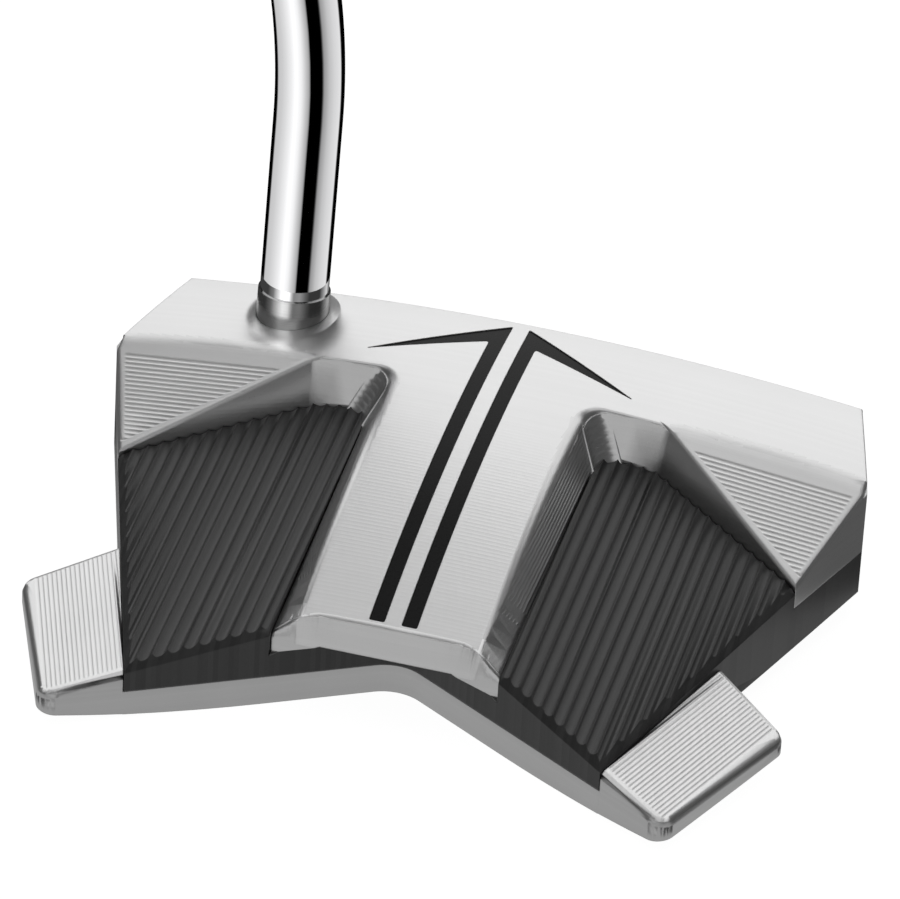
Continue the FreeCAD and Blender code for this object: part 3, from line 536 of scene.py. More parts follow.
mid_black = milled_metal("black_anodised", grey(0.006), grey(0.030), rough=0.38, pitch=0.00059,
                         scallop=0.8, scratch=0.5, lift=0.000004, turn=(0, 0, 90), spread=0.08,
                         shade=1.0, grain=0.00007, etch=0.6, metallic=0.0, specular=0.55)
mid_body = working_copy("mid_body")
mill(mid_body, deck_flutes)
finish_piece(mid_body, [mid_black], "black_aluminium", "mid_body")

# ---------------------------------------------------------------------------
# Upper body. One piece of aluminium, milled all over and anodised clear: the
# face bar, the two wings with their fluted facets, and the bridge. It is
# screwed from below and bonded onto the mid body.

LEAN = math.tan(math.radians(22))
WALL_START = Vector((23.8, WINDOW_FRONT, 0))
WALL_END = Vector((47.1, -32.4, 0))
WALL_START.z = floor_level(WALL_START.x, WALL_START.y)
WALL_END.z = floor_level(WALL_END.x, WALL_END.y)
CORNER_ROUND = 3.0
STEP_OVER = 0.78
STEP_DEPTH = 0.10
BRIDGE_FRONT = -9.0
BRIDGE_REAR = -63.9
BRIDGE_BACK = -61.4
REAR_FOOT = 9.7
FACE_HALF = 47.5
HALF_WIDTH = 52.4
WIDEST = -17.0
CROWN_TOP = 24.35
CROWN_WIDE = 365
CROWN_DEEP = 157.5
CROWN_MIDDLE = -4
LOFT = math.tan(math.radians(3.5))


def top_height(x, y):
    """Height of the crowned top over a point."""
    return (CROWN_TOP - (CROWN_WIDE - math.sqrt(CROWN_WIDE ** 2 - x * x))
            - (CROWN_DEEP - math.sqrt(CROWN_DEEP ** 2 - (y - CROWN_MIDDLE) ** 2)))


def prism(name, outline, low, high):
    """An upright prism over an outline."""
    return loft(name, [[Vector((x, y, z)) for x, y in outline] for z in (low, high)])


def crowned_block():
    """All below the crowned top."""
    step = 1.5
    across = [-57 + step * i for i in range(77)]
    along = [9 - step * j for j in range(62)]
    points = [Vector((x, y, top_height(x, y))) for y in along for x in across]
    wide = len(across)
    faces = []
    for j in range(len(along) - 1):
        for i in range(wide - 1):
            a = j * wide + i
            faces.append((a, a + 1, a + 1 + wide, a + wide))
    base = len(points)
    points += [Vector((x, y, -8)) for x, y in ((across[0], along[0]), (across[-1], along[0]),
                                               (across[-1], along[-1]), (across[0], along[-1]))]
    last = (len(along) - 1) * wide
    faces.append(tuple(range(wide)) + (base + 1, base))
    faces.append(tuple(range(last, last + wide)) + (base + 2, base + 3))
    faces.append(tuple(j * wide for j in range(len(along))) + (base + 3, base))
    faces.append(tuple(j * wide + wide - 1 for j in range(len(along))) + (base + 2, base + 1))
    faces.append((base, base + 1, base + 2, base + 3))
    return solid("crowned_block", points, faces)


def over_sole():
    """All above the sole, which is flat in the middle and rises to heel and toe."""
    half = [(16 + 42 * i / 20, 190 - math.sqrt(190 ** 2 - (42 * i / 20) ** 2)) for i in range(21)]
    outline = [(-x, z) for x, z in reversed(half)] + half + [(58, 45), (-58, 45)]
    return loft("over_sole", [[Vector((x, y, z)) for x, z in outline] for y in (10, -90)])


def front_wall(x, z):
    """Where the window's front wall is at a height: it leans back to the top."""
    foot = floor_level(x, WINDOW_FRONT)
    return WINDOW_FRONT + 2.7 * (z - foot) / (24 - foot)


def slanted_wall(share, z):
    """A point of the slanted wall, by its share of the way to the arm's tip."""
    foot = WALL_START.lerp(WALL_END, share)
    run = WALL_END - WALL_START
    square = Vector((-run.y, run.x, 0)).normalized()
    return foot + square * (LEAN * (z - foot.z)) + Vector((0, 0, z - foot.z))


def window_ring(high):
    """The window's outline at the deck floor, or high above it."""
    def at(x, y):
        return Vector((x, y, 30.0 if high else floor_level(x, y)))
    if high:
        start = slanted_wall(0, 30)
        end = slanted_wall(1.5, 30)
        run = (end - start).normalized()
        t = (front_wall(start.x, 30) - start.y) / run.y
        bend = start + run * t
    else:
        bend = WALL_START.copy()
        end = slanted_wall(1.5, WALL_START.lerp(WALL_END, 1.5).z)
    flat = [Vector((bend.x - 6, front_wall(bend.x - 6, 30) if high else WINDOW_FRONT, 0)),
            Vector((bend.x, bend.y, 0)), Vector((end.x, end.y, 0))]
    arc = [place for place, heading in rounded_path(flat, 3.5)][1:-1]
    ring = [at(0, front_wall(0, 30) if high else WINDOW_FRONT), at(flat[0].x, flat[0].y)]
    ring += [at(p.x, p.y) for p in arc]
    ring += [at(end.x, end.y), at(end.x, -100), at(0, -100)]
    return ring


def window_tool():
    floor = window_ring(False)
    return loft("window_tool", [[Vector((p.x, p.y, -12)) for p in floor], floor,
                                window_ring(True)])


def bridge_line(y):
    """The bridge's side at one setback: its foot, and its shoulder at the top."""
    v = (BRIDGE_FRONT - y) / (BRIDGE_FRONT - BRIDGE_REAR)
    foot = Vector((BRIDGE_FOOT, 0, floor_level(BRIDGE_FOOT, BRIDGE_FRONT))).lerp(
        Vector((15.4, 0, floor_level(15.4, BRIDGE_REAR) - 1.2)), v)
    shoulder = 13.2 + (12.5 - 13.2) * v
    return foot + Vector((0, y, 0)), Vector((shoulder, y, top_height(shoulder, y)))


def bridge_side(y, z):
    """Half width of the bridge at a setback and height."""
    foot, shoulder = bridge_line(y)
    return foot.x + (z - foot.z) / (shoulder.z - foot.z) * (shoulder.x - foot.x)


def bridge_blank():
    rings = []
    for k in range(23):
        y = BRIDGE_FRONT + 0.7 + (BRIDGE_REAR - BRIDGE_FRONT - 0.7) * k / 22
        foot, shoulder = bridge_line(y)
        high = shoulder.z + 2.2
        half = [(foot.x, 1.0), (foot.x, foot.z), (bridge_side(y, high), high)]
        ring = [Vector((x, y, z)) for x, z in half]
        rings.append(ring + [Vector((-p.x, p.y, p.z)) for p in reversed(ring)])
    return loft("bridge_blank", rings)


def corner_at(z):
    """Where the front wall and the bridge's side meet at a height."""
    x, y = BRIDGE_FOOT, -18.0
    for turn in range(6):
        x = bridge_side(y, z)
        y = front_wall(x, z)
    return x, y


def corner_web():
    """The round inner corner of the window, with the cutter's steps in it."""
    rings = []
    z = 15.0
    while z < 27.0:
        x, y = corner_at(z)
        centre = Vector((x + CORNER_ROUND, y - CORNER_ROUND, z))
        ring = [Vector((x + CORNER_ROUND, y + 0.8, z))]
        for k in range(13):
            angle = math.radians(90 + 90 * k / 12)
            lane = (z + 0.9 * k / 12) / STEP_OVER
            bowl = (2 * (lane - math.floor(lane)) - 1) ** 2
            deep = STEP_DEPTH * bowl * math.sin(math.radians(180 * k / 12)) ** 0.7
            radius = CORNER_ROUND + 0.02 - deep
            ring.append(centre + Vector((math.cos(angle), math.sin(angle), 0)) * radius)
        ring.append(Vector((x - 0.8, y - CORNER_ROUND, z)))
        ring.append(Vector((x - 0.8, y + 0.8, z)))
        rings.append(ring)
        z += STEP_OVER / 6
    return loft("corner_web", rings)


FACET_INNER = Vector((23.8, -16.4, top_height(23.8, -16.4)))
FACET_OUTER = Vector((HALF_WIDTH, -16.4, top_height(HALF_WIDTH, -16.4)))
FACET_TIP = Vector((47.1, -32.4, 12.6))
FACET = [FACET_INNER, FACET_OUTER, FACET_TIP]


def facet_level(x, y):
    """Height of the facet's plane over a point."""
    return plane_height(FACET, x, y)


def facet_tool():
    """All above the facet of the toe wing."""
    plan = [(19.5, -14.0), (58, -14.0), (58, -45), (19.5, -45)]
    return loft("facet_tool", [[Vector((x, y, facet_level(x, y))) for x, y in plan],
                               [Vector((x, y, 45)) for x, y in plan]])


def facet_flutes():
    """The flutes of the toe facet, from the blend down to the arm's tip."""
    along = (FACET_OUTER - FACET_INNER).normalized()
    normal = along.cross(FACET_TIP - FACET_INNER).normalized()
    if normal.z < 0:
        normal = -normal
    across = along.cross(normal).normalized()
    if across.y > 0:
        across = -across
    reach = (FACET_TIP - FACET_INNER).dot(across)
    tip = (FACET_TIP - FACET_INNER).dot(along)
    wide = (FACET_OUTER - FACET_INNER).length
    first = 2.3
    ridge = tip / reach
    rim = (tip - wide) / reach
    sizes = {"Pitch": 0.7, "Depth": 0.12, "Count": int((reach - first - 0.7) / 0.7),
             "Start": ridge * first + 1.7, "Start slope": ridge,
             "End": wide + rim * first - 0.75, "End slope": rim, "Runout": 0.5, "Height": 1.5}
    return flute_tool("facet_flutes", FACET_INNER + across * first, across, along, sizes)


def deck_roof():
    """All under the upper body: a slanted plane with the channel over the deck."""
    slope = math.tan(math.radians(2.87))
    outline = [(-60, -20), (60, -20), (60, 0), (15.2, 0), (8.9, 2.25), (-8.9, 2.25), (-15.2, 0),
               (-60, 0)]
    rings = []
    for y in (-9.0, -90.0):
        level = 10.45 - slope * (-9.0 - y)
        rings.append([Vector((x, y, level + z)) for x, z in outline])
    return loft("deck_roof", rings)


def ahead_of_face():
    """The metal ahead of the lofted face."""
    rings = []
    for z in (-10.0, 40.0):
        face = (CROWN_TOP - z) * LOFT
        rings.append([Vector((x, y, z)) for x, y in ((-60, face), (60, face), (60, 12), (-60, 12))])
    return loft("ahead_of_face", rings)


def on_top(x, y):
    return Vector((x, y, top_height(x, y)))


def over_top(x, y, into):
    """The direction over the crown that starts out a given way."""
    return on_top(x + into.x * 0.1, y + into.y * 0.1) - on_top(x, y)


def ridge_edge():
    """The edge between the facet and the slanted wall."""
    run = (WALL_END - WALL_START).normalized()
    stations = []
    for share in (-0.12, 1.3):
        z = 18.0
        for turn in range(30):
            spot = slanted_wall(share, z)
            z += (facet_level(spot.x, spot.y) - z) * 0.7
        spot = slanted_wall(share, z)
        stations.append(spot)
    line = (stations[1] - stations[0]).normalized()
    facet_normal = (FACET_OUTER - FACET_INNER).cross(FACET_TIP - FACET_INNER).normalized()
    over = line.cross(facet_normal)
    if over.x < 0:
        over = -over
    square = Vector((-run.y, run.x, 0))
    down = (square * -LEAN + Vector((0, 0, -1)))
    down = down - line * down.dot(line)
    return edge_tool("ridge_edge", [(spot, over, down, 0.42) for spot in stations], 4)


def blend_edge():
    """The soft blend between the crowned top and the facet."""
    stations = []
    for k in range(19):
        x = 23.0 + 30.5 * k / 18
        y = -16.4
        for turn in range(8):
            gap = top_height(x, y) - facet_level(x, y)
            y += gap / 0.56
        slope = (top_height(x, y + 0.1) - top_height(x, y - 0.1)) / 0.2
        fall = facet_level(x, y - 1) - facet_level(x, y)
        width = 1.7 * min(1.0, max(0.12, (x - 23.0) / 3.0))
        stations.append((on_top(x, y), Vector((0, 1, slope)), Vector((0, -1, fall)), width))
    return edge_tool("blend_edge", stations, 8)


def window_edge():
    """The edge round the window's top: front wall, inner corner, bridge side."""
    stations = []

    def add(x, y, into, lean, width):
        down = Vector((-into.x * lean, -into.y * lean, -1))
        stations.append((on_top(x, y), over_top(x, y, into), down, width))

    corner_x, corner_y = corner_at(top_height(13.8, -16.5))
    for k in range(6):
        x = 24.0 + (corner_x + CORNER_ROUND - 24.0) * k / 5
        add(x, front_wall(x, top_height(x, -15.9)), Vector((0, 1, 0)), 0.42, 0.4)
    centre = Vector((corner_x + CORNER_ROUND, corner_y - CORNER_ROUND, 0))
    for k in range(1, 9):
        angle = math.radians(90 + 90 * k / 8)
        into = Vector((math.cos(angle), math.sin(angle), 0))
        spot = centre + into * CORNER_ROUND
        add(spot.x, spot.y, into, 0.42 + 0.2 * k / 8, 0.4 + 0.9 * k / 8)
    start = centre.y
    for k in range(1, 20):
        y = start + (BRIDGE_REAR - 1.0 - start) * k / 19
        inside = max(y, BRIDGE_REAR)
        x = 13.0
        for turn in range(6):
            x = bridge_side(inside, top_height(x, y))
        foot, high = bridge_line(inside)
        lean = (foot.x - high.x) / (high.z - foot.z)
        add(x, y, Vector((-1, 0, 0)), lean, 1.3 - 0.35 * k / 19)
    return edge_tool("window_edge", stations, 6)


def back_at(x):
    """Setback of the top of the bridge's rear face; it falls back at the shoulders."""
    share = max(0.0, min(1.0, (abs(x) - 9.2) / 4.8))
    return BRIDGE_BACK - 1.35 * share * share * (3 - 2 * share)


def rear_face(x, z):
    """Setback of the leaning rear face at a height."""
    y = back_at(x)
    return y + (z - top_height(x, y)) * (y - BRIDGE_REAR) / (top_height(x, y) - REAR_FOOT)


def rear_tool():
    """All behind the leaning rear face of the bridge."""
    rings = []
    for k in range(81):
        x = 0.4 * (k - 40)
        levels = (7.0, REAR_FOOT, top_height(x, back_at(x)), 20.0)
        rings.append([Vector((x, rear_face(x, z), z)) for z in levels]
                     + [Vector((x, -80.0, 20.0)), Vector((x, -80.0, 7.0))])
    return loft("rear_tool", rings)


def rear_edge():
    """The polished bevel round the rear end of the bridge."""
    lean = Vector((0, 2.5, 3.83)).normalized()
    stations = []
    for side in (1, -1):
        run = []
        for k in range(5):
            z = 9.9 + 0.62 * k
            x = 12.5
            for turn in range(6):
                x = bridge_side(max(rear_face(x, z), BRIDGE_REAR), z)
            run.append((Vector((side * x, rear_face(x, z), z)), Vector((0, 1, 0.12)),
                        Vector((-side, 0, 0)) - lean * 0.5, 0.4))
        for x in (12.1, 11.6, 11.0, 10.4, 9.8, 8.0, 5.0, 2.0):
            y = back_at(x)
            into = lean * -1 if x < 10 else lean * -1 - Vector((side * (x - 10) * 0.25, 0, 0))
            run.append((on_top(side * x, y), Vector((0, 1, 0.38)), into, 0.36))
        stations += run if side == 1 else run[::-1]
    return edge_tool("rear_edge", stations, 2)


def rim_edge():
    """The broken edge outside the facet, down to the arm's tip."""
    stations = []
    for k in range(9):
        y = -15.6 - 18.5 * k / 8
        x = HALF_WIDTH - (0.35540 if y < WIDEST else -0.2882) * (WIDEST - y)
        level = min(facet_level(x, y), top_height(x, y))
        corner = Vector((x, y, level))
        out = Vector((0.9422, -0.3349, 0)) if y < WIDEST else Vector((0.9609, 0.2768, 0))
        inner = Vector((x - out.x * 0.1, y - out.y * 0.1, 0))
        inner.z = min(facet_level(inner.x, inner.y), top_height(inner.x, inner.y))
        stations.append((corner, inner - corner, Vector((0, 0, -1)), 0.62))
    return edge_tool("rim_edge", stations, 3)


def face_edge():
    """The broken edge along the top of the face."""
    stations = []
    for k in range(-24, 25):
        x = 2.03 * k
        y = (CROWN_TOP - top_height(x, 0)) * LOFT
        over = on_top(x, y - 0.1) - on_top(x, y)
        stations.append((on_top(x, y), over, Vector((0, 0.061, -1)), 0.3))
    return edge_tool("face_edge", stations, 3)


def side_edge():
    """The broken edge along the toe end of the top."""
    run = Vector((FACE_HALF - HALF_WIDTH, -WIDEST, 0)).normalized()
    into = Vector((-run.y, run.x, 0))
    stations = []
    for k in range(7):
        spot = Vector((HALF_WIDTH, WIDEST, 0)) + run * (-0.8 + 3.2 * k)
        stations.append((on_top(spot.x, spot.y), over_top(spot.x, spot.y, into),
                         Vector((0, 0, -1)), 0.3))
    return edge_tool("side_edge", stations, 3)


ARROW = [(1.15, -1.4), (19.2, -12.8), (3.25, -6.1), (3.25, -60.8), (1.15, -60.8)]
ARROW_ROUNDS = (0.15, 0.08, 0.3, 0.25, 0.25)


def arrow_channel():
    """The toe half of the arrow, cut to below the paint, with round ends."""
    corners = [Vector((x, y, 0)) for x, y in ARROW]
    outline = []
    for i, corner in enumerate(corners):
        before = (corners[i - 1] - corner).normalized()
        after = (corners[(i + 1) % 5] - corner).normalized()
        radius = ARROW_ROUNDS[i]
        half = before.angle(after) / 2
        reach = radius / math.tan(half)
        centre = corner + (before + after).normalized() * (radius / math.sin(half))
        start = corner + before * reach - centre
        end = corner + after * reach - centre
        for k in range(6):
            spot = centre + start.slerp(end, k / 5) * radius
            outline.append((spot.x, spot.y))
    channel = prism("arrow_channel", outline, 8.0, 30.0)
    floor = crowned_block()
    floor.data.transform(Matrix.Translation((0, 0, -0.6)))
    carve(channel, "DIFFERENCE", floor)
    return channel


HOSEL_LEAN = math.radians(6.8)
LEG = Vector((0, math.sin(HOSEL_LEAN), math.cos(HOSEL_LEAN)))
HOSEL_FOOT = Vector((-31.0, -6.0, top_height(31.0, -6.0)))


def circle(centre, side, back, radius, count):
    """A ring of points in the plane of two directions."""
    return [centre + (side * math.cos(a) + back * math.sin(a)) * radius
            for a in (2 * math.pi * k / count for k in range(count))]


def hosel_bore():
    """The bore that the hosel post's collar sits in."""
    side = Vector((1, 0, 0))
    return loft("hosel_bore", [circle(HOSEL_FOOT + LEG * reach, side, LEG.cross(side), 4.99, 48)
                               for reach in (-1.05, 8.0)])


toe_outline = [(FACE_HALF, 3), (FACE_HALF, 0), (HALF_WIDTH, WIDEST), (32, -74.4)]
upper_body = prism("upper_body_milled", [(-FACE_HALF, 3)] + toe_outline + [(0, -55.3)]
                   + [(-x, y) for x, y in toe_outline[:0:-1]], -6, 32)
mill(upper_body, window_tool)
toe_web = corner_web()
carve(upper_body, "UNION", bridge_blank(), toe_web, mirrored(toe_web, "heel_web"))
carve(upper_body, "INTERSECT", over_sole(), crowned_block())
toe_facet = facet_tool()
carve(upper_body, "DIFFERENCE", toe_facet, mirrored(toe_facet, "heel_facet"), deck_roof(),
      ahead_of_face(), rear_tool())
carve(upper_body, "DIFFERENCE", face_edge())
mill(upper_body, side_edge)
carve(upper_body, "DIFFERENCE", hosel_bore())
mill(upper_body, arrow_channel)
carve(upper_body, "DIFFERENCE", rear_edge())
for make in (blend_edge, ridge_edge, rim_edge, window_edge, facet_flutes):
    mill(upper_body, make)

top_metal = milled_metal("top_metal", grey(0.74), grey(0.80), rough=0.40, pitch=0.0006,
                         scallop=0.5, scratch=0.5, lift=0.000016, fades=(0.016, 0.034))
wall_metal = milled_metal("wall_metal", grey(0.62), grey(0.72), rough=0.30, pitch=0.0005,
                          scallop=0.5, scratch=0.6, lift=0.000004, turn=(90, 0, 0))
facet_metal = milled_metal("facet_metal", grey(0.70), grey(0.82), rough=0.36, pitch=0.0003,
                           scallop=0.3, scratch=1.0, lift=0.000005)
# The bridge's sloped sides take a wide spread of grey from one cutter line to the next. This is
# painted light and shade standing in for what the milled ribs reflect, over their real line-to-line
# tone.
bridge_metal_rib_shade = milled_metal("bridge_metal_rib_shade", grey(0.50), grey(0.84), rough=0.30, pitch=0.00048,
                            scallop=1.0, scratch=0.03, lift=0.00004, turn=(-98.3, -90, 0))
bevel_metal = milled_metal("bevel_metal", grey(0.94), grey(0.98), rough=0.30, pitch=0.0003,
                           scallop=0.2, scratch=0.4, lift=0.000002)
rear_normal = Vector((0, -0.839, 0.545))
for face in upper_body.data.polygons:
    spot, up = face.center, face.normal.z
    below = top_height(spot.x, spot.y) - spot.z
    if abs(below) < 0.02:
        face.material_index = 0
    elif abs(spot.x) > 23 and spot.y < -16 and up > 0.5:
        face.material_index = 2
    elif (spot.y < -60.7 and 0.02 < below < 0.4 and face.normal.dot(rear_normal) > 0.5
          and abs(spot.x) < 12.4):
        face.material_index = 4
    # The bridge's sloped sides get the grey with the painted rib light and shade.
    elif (abs(spot.x) < 16.1 and -63.8 < spot.y < -19 and 0.2 < up < 0.6
          and abs(face.normal.x) > 0.3):
        face.material_index = 3
    else:
        face.material_index = 1
finish_piece(upper_body, [top_metal, wall_metal, facet_metal, bridge_metal_rib_shade, bevel_metal],
             "clear_aluminium", "upper_body")

# ---------------------------------------------------------------------------
# Alignment arrow. Black paint, flooded into two milled channels and wiped off
# just below the surface; its two solids keep the shape they have in the frame.


def grained_matter(name, low, high, rough, size, strength, distance, worn_by="Height",
                   metallic=0.0, specular=0.5):
    """Paint, plating, fibre, tape or glue: uneven in tone, with a soft grain."""
    material, tree, shader, place = new_material(name)
    grains = group(tree, BLAST_GRAIN, Vector=place, Size=size)
    for socket, value in (("Base Color", two_tone(tree, grains["Cloud"], low, high)),
                          ("Roughness", span(tree, grains[worn_by], *rough)),
                          ("Metallic", metallic), ("Specular IOR Level", specular),
                          ("Normal", bump(tree, grains["Height"], strength, distance))):
        wire(tree, shader.inputs[socket], value)
    return material


def dress(names, material):
    """A finish for solids that keep the shape they have in the frame."""
    for name in names:
        nodes[name].data.materials.clear()
        nodes[name].data.materials.append(material)


arrow_paint = grained_matter("arrow_paint", grey(0.004), grey(0.009), (0.22, 0.34), 0.0007, 0.4,
                             0.00002, specular=0.12)
dress(["toe_line_paint", "heel_line_paint"], arrow_paint)

# ---------------------------------------------------------------------------
# Fastenings under the head: stainless socket screws, ground steel pins, two
# turned tungsten-steel sole weights on fibre washers, and the adhesive films.

screw_steel = milled_metal("screw_steel", (0.34, 0.34, 0.35), (0.46, 0.46, 0.47), rough=0.30,
                           pitch=0.0002, scallop=0.5, scratch=0.6, lift=0.000004)
pin_steel = milled_metal("pin_steel", grey(0.60), grey(0.68), rough=0.18, pitch=0.0002,
                         scallop=0.2, scratch=0.4, lift=0.000002)
weight_steel = milled_metal("weight_steel", (0.42, 0.42, 0.43), (0.55, 0.55, 0.56), rough=0.26,
                            pitch=0.00025, scallop=0.7, scratch=0.5, lift=0.000004)
dress(["bridge_screws", "wing_screws", "rear_screws"], screw_steel)
dress(["dowel_pins"], pin_steel)
dress(["toe_weight", "heel_weight"], weight_steel)
dress(["weight_washers"], grained_matter("red_fibre", (0.16, 0.05, 0.03), (0.24, 0.08, 0.05),
                                         (0.6, 0.8), 0.0002, 0.8, 0.00003))
dress(["upper_bond_film", "sole_bond_film", "hosel_bond", "shaft_bond"],
      grained_matter("adhesive", grey(0.05), grey(0.09), (0.4, 0.6), 0.0004, 0.8, 0.00002))

# ---------------------------------------------------------------------------
# Hosel post. Turned from stainless steel, glued into the head below and into
# the shaft above; only its collar shows, with fine turning marks round it.

collar_steel = milled_metal("collar_steel", grey(0.42), grey(0.62), rough=0.24, pitch=0.00012,
                            scallop=0.5, scratch=1.0, lift=0.000004, turn=(90, 0, 0))
dress(["hosel_post"], collar_steel)

# ---------------------------------------------------------------------------
# Shaft. Drawn steel tube, bent once above the head and stepped up under the
# grip, polished and chrome plated; the post's top end sits in its bore.


LIE = math.radians(70)
LONG_LEG = Vector((-math.cos(LIE), 0, math.sin(LIE)))
BEND_AXIS = LEG.cross(LONG_LEG).normalized()
BEND_ROUND = 100.0
SHAFT_RADIUS = 4.7
TUBE_WALL = 0.55
PLAIN_LENGTH = 130.0
STEP_LENGTH = 32.0
STEP_TAPER = 3.0
STEP_RISE = 0.24091
CLUB_LENGTH = 864.0
CAP_THICKNESS = 4.0


def bent(bend, count):
    """Points and headings round the bend, after its start."""
    centre = bend + BEND_AXIS.cross(LEG) * BEND_ROUND
    turns = [Matrix.Rotation(LEG.angle(LONG_LEG) * k / count, 4, BEND_AXIS)
             for k in range(1, count + 1)]
    return [(centre + turn @ (bend - centre), turn @ LEG) for turn in turns]


def shaft_tube():
    """The tube's outside up to the butt, and its bore back down to the tip."""
    start = HOSEL_FOOT + LEG * 3.4
    bend = start + LEG * 25.2
    line = [(spot, heading, SHAFT_RADIUS)
            for spot, heading in [(start, LEG), (bend, LEG)] + bent(bend, 32)]
    foot = line[-1][0]
    above = PLAIN_LENGTH
    line.append((foot + LONG_LEG * above, LONG_LEG, SHAFT_RADIUS))
    butt = CLUB_LENGTH - CAP_THICKNESS - foot.z / LONG_LEG.z
    for count in range(1, 12):
        radius = SHAFT_RADIUS + STEP_RISE * count
        line.append((foot + LONG_LEG * (above + STEP_TAPER), LONG_LEG, radius))
        above = above + STEP_LENGTH if count < 11 else butt
        line.append((foot + LONG_LEG * above, LONG_LEG, radius))
    rings = [circle(spot, BEND_AXIS, heading.cross(BEND_AXIS).normalized(), radius - inset, 128)
             for inset, run in ((0.0, line), (TUBE_WALL, line[::-1]))
             for spot, heading, radius in run]
    points = [p for ring in rings for p in ring]
    return solid("shaft_plated", points, bands(len(rings), 128, closed=True))


chrome = grained_matter("shaft_chrome", (0.86, 0.86, 0.87), (0.91, 0.91, 0.92), (0.03, 0.07), 0.002,
                        0.2, 0.000004, worn_by="Cloud", metallic=1.0)
finish_piece(shaft_tube(), [chrome], "chrome_steel", "shaft")

# ---------------------------------------------------------------------------
# Grip. A slip-on rubber putter grip with a flat front, over double-sided
# tape, closed by a moulded end cap with a vent hole.


def rubber(name, low, high):
    """Moulded rubber with a fine pebbled surface."""
    material, tree, shader, place = new_material(name)
    cells = node(tree, "ShaderNodeTexVoronoi", Vector=place, Scale=650.0).outputs["Distance"]
    grain = group(tree, BLAST_GRAIN, Vector=place, Size=0.0002)["Height"]
    coarse = bump(tree, cells, 0.6, 0.0002)
    for socket, value in (("Base Color", two_tone(tree, cells, low, high)),
                          ("Roughness", span(tree, grain, 0.55, 0.75)),
                          ("Normal", bump(tree, grain, 0.5, 0.00003, Normal=coarse))):
        wire(tree, shader.inputs[socket], value)
    return material


dress(["grip_tape"], grained_matter("paper_tape", (0.55, 0.50, 0.38), (0.64, 0.59, 0.47),
                                    (0.7, 0.9), 0.0003, 0.8, 0.00003))
dress(["grip"], rubber("grip_rubber", (0.014, 0.014, 0.015), (0.030, 0.030, 0.032)))
dress(["grip_cap"], grained_matter("cap_rubber", (0.010, 0.010, 0.011), (0.022, 0.022, 0.023),
                                   (0.5, 0.7), 0.0002, 0.8, 0.00003))

# ---------------------------------------------------------------------------
# Studio: a white floor, large soft boxes behind, above and in front, a small
# tent round the plated shaft, dark flags at the sides, and the camera.


def studio_part(name, points, faces, material):
    """A mesh in metres that belongs to the studio and not to the part."""
    mesh = bpy.data.meshes.new(name)
    mesh.from_pydata([tuple(p) for p in points], [], faces)
    mesh.materials.append(material)
    made = placed(name, mesh)
    return made


def card(name, corners, material):
    """A flat part of the studio."""
    return studio_part(name, corners, [tuple(range(len(corners)))], material)


def only_reflected(made):
    """Seen in glossy surfaces, and nowhere else."""
    for ray in ("camera", "diffuse", "shadow", "transmission", "volume_scatter"):
        setattr(made, "visible_" + ray, False)


def bare_material(name):
    """A material with nothing in its tree yet, and the input to show it by."""
    material = bpy.data.materials.new(name)
    material.use_nodes = True
    tree = material.node_tree
    tree.nodes.clear()
    return material, tree, tree.nodes.new("ShaderNodeOutputMaterial").inputs["Surface"]


def glow(tree, strength):
    white = (1.0, 1.0, 1.0, 1.0)
    return node(tree, "ShaderNodeEmission", Color=white, Strength=strength).outputs[0]


def mixed(tree, factor, first, second):
    """One shader or another, by a factor."""
    mix = tree.nodes.new("ShaderNodeMixShader")
    for socket, value in zip(mix.inputs, (factor, first, second)):
        tree.links.new(value, socket)
    return mix.outputs[0]


def floor_white():
    """White paper: plain white to the camera but for the soft shadow."""
    material, tree, surface = bare_material("floor_white")
    matt = node(tree, "ShaderNodeBsdfDiffuse", Color=(0.82, 0.82, 0.82, 1.0)).outputs[0]
    ray = tree.nodes.new("ShaderNodeLightPath").outputs
    seen = mixed(tree, number(tree, "MULTIPLY", ray["Is Camera Ray"], 0.85), matt,
                 glow(tree, 1.12))
    wire(tree, surface, mixed(tree, ray["Is Glossy Ray"], seen, glow(tree, 0.55)))
    return material


card("studio_floor", [(-6, -6, 0), (6, -6, 0), (6, 6, 0), (-6, 6, 0)], floor_white())


def flag(name, corners, shade):
    """A dark card that only reflections see."""
    material, tree, surface = bare_material(name)
    wire(tree, surface, glow(tree, shade))
    only_reflected(card(name, corners, material))


for name, side in (("flag_toe_side", 1), ("flag_heel_side", -1)):
    flag(name, [(side * x, y, 0.0004) for x, y in (
        (0.056, -0.020), (0.075, -0.085), (0.40, -0.085), (0.40, 0.30), (0.056, 0.30))], 0.12)

azimuth, elevation, roll = math.radians(14.434), math.radians(32.679), math.radians(3.344)
TENT_RADIUS = 6.5
# Turn round the plated tube from the side that faces the camera, in degrees,
# and how bright the tent is where that stretch of the tube mirrors it.
TENT_HIGH = [(-90, 0.0), (-65, 0.0), (-62, 0.62), (-50, 0.68), (-40, 0.80), (-30, 0.97),
             (-21, 1.2), (-12, 1.0), (-4, 0.62), (1, 0.42), (3, 0.0), (23, 0.0), (26, 0.35),
             (30, 0.44), (36, 0.60), (46, 0.74), (62, 0.86), (65, 0.0), (90, 0.0)]
TENT_LOW = [(-90, 0.05), (-48, 0.05), (-36, 0.2), (-26, 0.8), (-16, 1.6), (-8, 1.3), (-3, 0.5),
            (0, 0.25), (10, 0.3), (20, 0.12), (27, 0.04), (48, 0.04), (60, 0.4), (68, 0.7),
            (75, 0.2), (90, 0.2)]


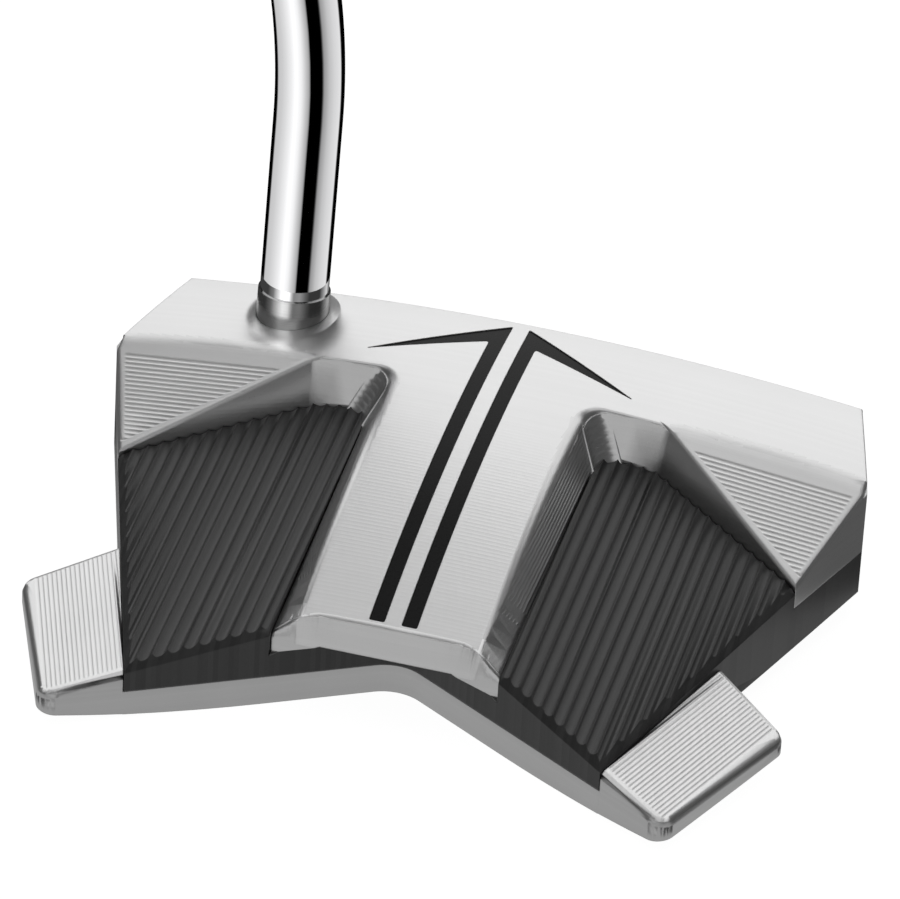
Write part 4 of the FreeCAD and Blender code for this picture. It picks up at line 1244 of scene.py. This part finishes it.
def mirrored_turn(turn):
    """Where the tent is hit by what the tube mirrors at a turn."""
    reach = (math.sqrt(TENT_RADIUS ** 2 - (SHAFT_RADIUS * math.sin(turn)) ** 2)
             - SHAFT_RADIUS * math.cos(turn))
    return math.atan2(SHAFT_RADIUS * math.sin(turn) + reach * math.sin(2 * turn),
                      SHAFT_RADIUS * math.cos(turn) + reach * math.cos(2 * turn))


def tent_glow(table, turn):
    """Brightness of the tent at a turn round the tube."""
    for (a, low), (b, high) in zip(table, table[1:]):
        start = mirrored_turn(math.radians(a))
        end = mirrored_turn(math.radians(b))
        if start <= turn <= end:
            return low + (high - low) * (turn - start) / max(end - start, 1e-6)
    return 0.0


def shaft_tent():
    """Short panels that glow by their attribute, for short reflected rays."""
    bend = HOSEL_FOOT + LEG * 28.6
    line = [(HOSEL_FOOT + LEG * s, LEG) for s in (0.25, 4.0, 4.01, 16.0, 28.6)] + bent(bend, 8)
    line.append((line[-1][0] + LONG_LEG * 45, LONG_LEG))
    facing = Vector((math.sin(azimuth), -math.cos(azimuth), 0))
    columns = 180
    points = []
    shine = []
    for level, (spot, heading) in enumerate(line):
        near = (facing - heading * facing.dot(heading)).normalized()
        side = heading.cross(near)
        table = TENT_LOW if level < 2 else TENT_HIGH
        for k in range(columns):
            turn = 2 * math.pi * k / columns - math.pi
            points.append(0.001 * (spot + (near * math.cos(turn) + side * math.sin(turn))
                                   * TENT_RADIUS))
            shine.append(tent_glow(table, turn))
    material, tree, surface = bare_material("tent")
    reading = tree.nodes.new("ShaderNodeAttribute")
    reading.attribute_name = "glow"
    clear = tree.nodes.new("ShaderNodeBsdfTransparent").outputs[0]
    reach = tree.nodes.new("ShaderNodeLightPath").outputs["Ray Length"]
    wire(tree, surface, mixed(tree, number(tree, "LESS_THAN", reach, 0.0066), clear,
                              glow(tree, reading.outputs["Fac"])))
    made = studio_part("shaft_tent", points, bands(len(line), columns), material)
    made.data.attributes.new("glow", "FLOAT", "POINT").data.foreach_set("value", shine)
    only_reflected(made)


shaft_tent()


def softbox(name, place, target, width, height, bright):
    """A soft box of even brightness."""
    light = bpy.data.lights.new(name, "AREA")
    light.shape = "RECTANGLE"
    light.size = width
    light.size_y = height
    light.energy = bright * math.pi * width * height
    lamp = placed(name, light)
    aim = (Vector(target) - Vector(place)).to_track_quat("-Z", "Y")
    lamp.matrix_world = Matrix.Translation(place) @ aim.to_matrix().to_4x4()


softbox("softbox_behind", (-0.15, 1.2, 0.84), (0, 0, 0), 2.6, 1.45, 1.05)
softbox("softbox_above", (-0.1, 0.05, 1.5), (0, -0.04, 0), 1.5, 1.2, 0.68)
softbox("softbox_front", (-0.15, -1.5, 0.72), (0, 0, 0.02), 1.9, 1.2, 0.58)

world = bpy.data.worlds.new("studio")
scene.world = world
world.use_nodes = True
sky = world.node_tree
path = sky.nodes.new("ShaderNodeLightPath")
ambient = sky.nodes["Background"]
ambient.inputs["Color"].default_value = (1.0, 1.0, 1.0, 1.0)
dim = number(sky, "MULTIPLY_ADD", path.outputs["Is Glossy Ray"], -0.33, 0.42)
sky.links.new(number(sky, "MAXIMUM", dim, path.outputs["Is Camera Ray"]),
              ambient.inputs["Strength"])

back = Vector((math.sin(azimuth) * math.cos(elevation), -math.cos(azimuth) * math.cos(elevation),
               math.sin(elevation)))
level = Vector((math.cos(azimuth), math.sin(azimuth), 0))
upright = back.cross(level)
right = level * math.cos(roll) + upright * math.sin(roll)
over = upright * math.cos(roll) - level * math.sin(roll)
camera = placed("camera", bpy.data.cameras.new("camera"))
camera.data.lens = 293.88
camera.data.sensor_width = 36.0
camera.data.clip_start = 0.01
camera.matrix_world = (Matrix.Translation((0.202565, -0.823419, 0.547270))
                       @ Matrix((right, over, back)).transposed().to_4x4())
scene.camera = camera
scene.view_settings.view_transform = "Standard"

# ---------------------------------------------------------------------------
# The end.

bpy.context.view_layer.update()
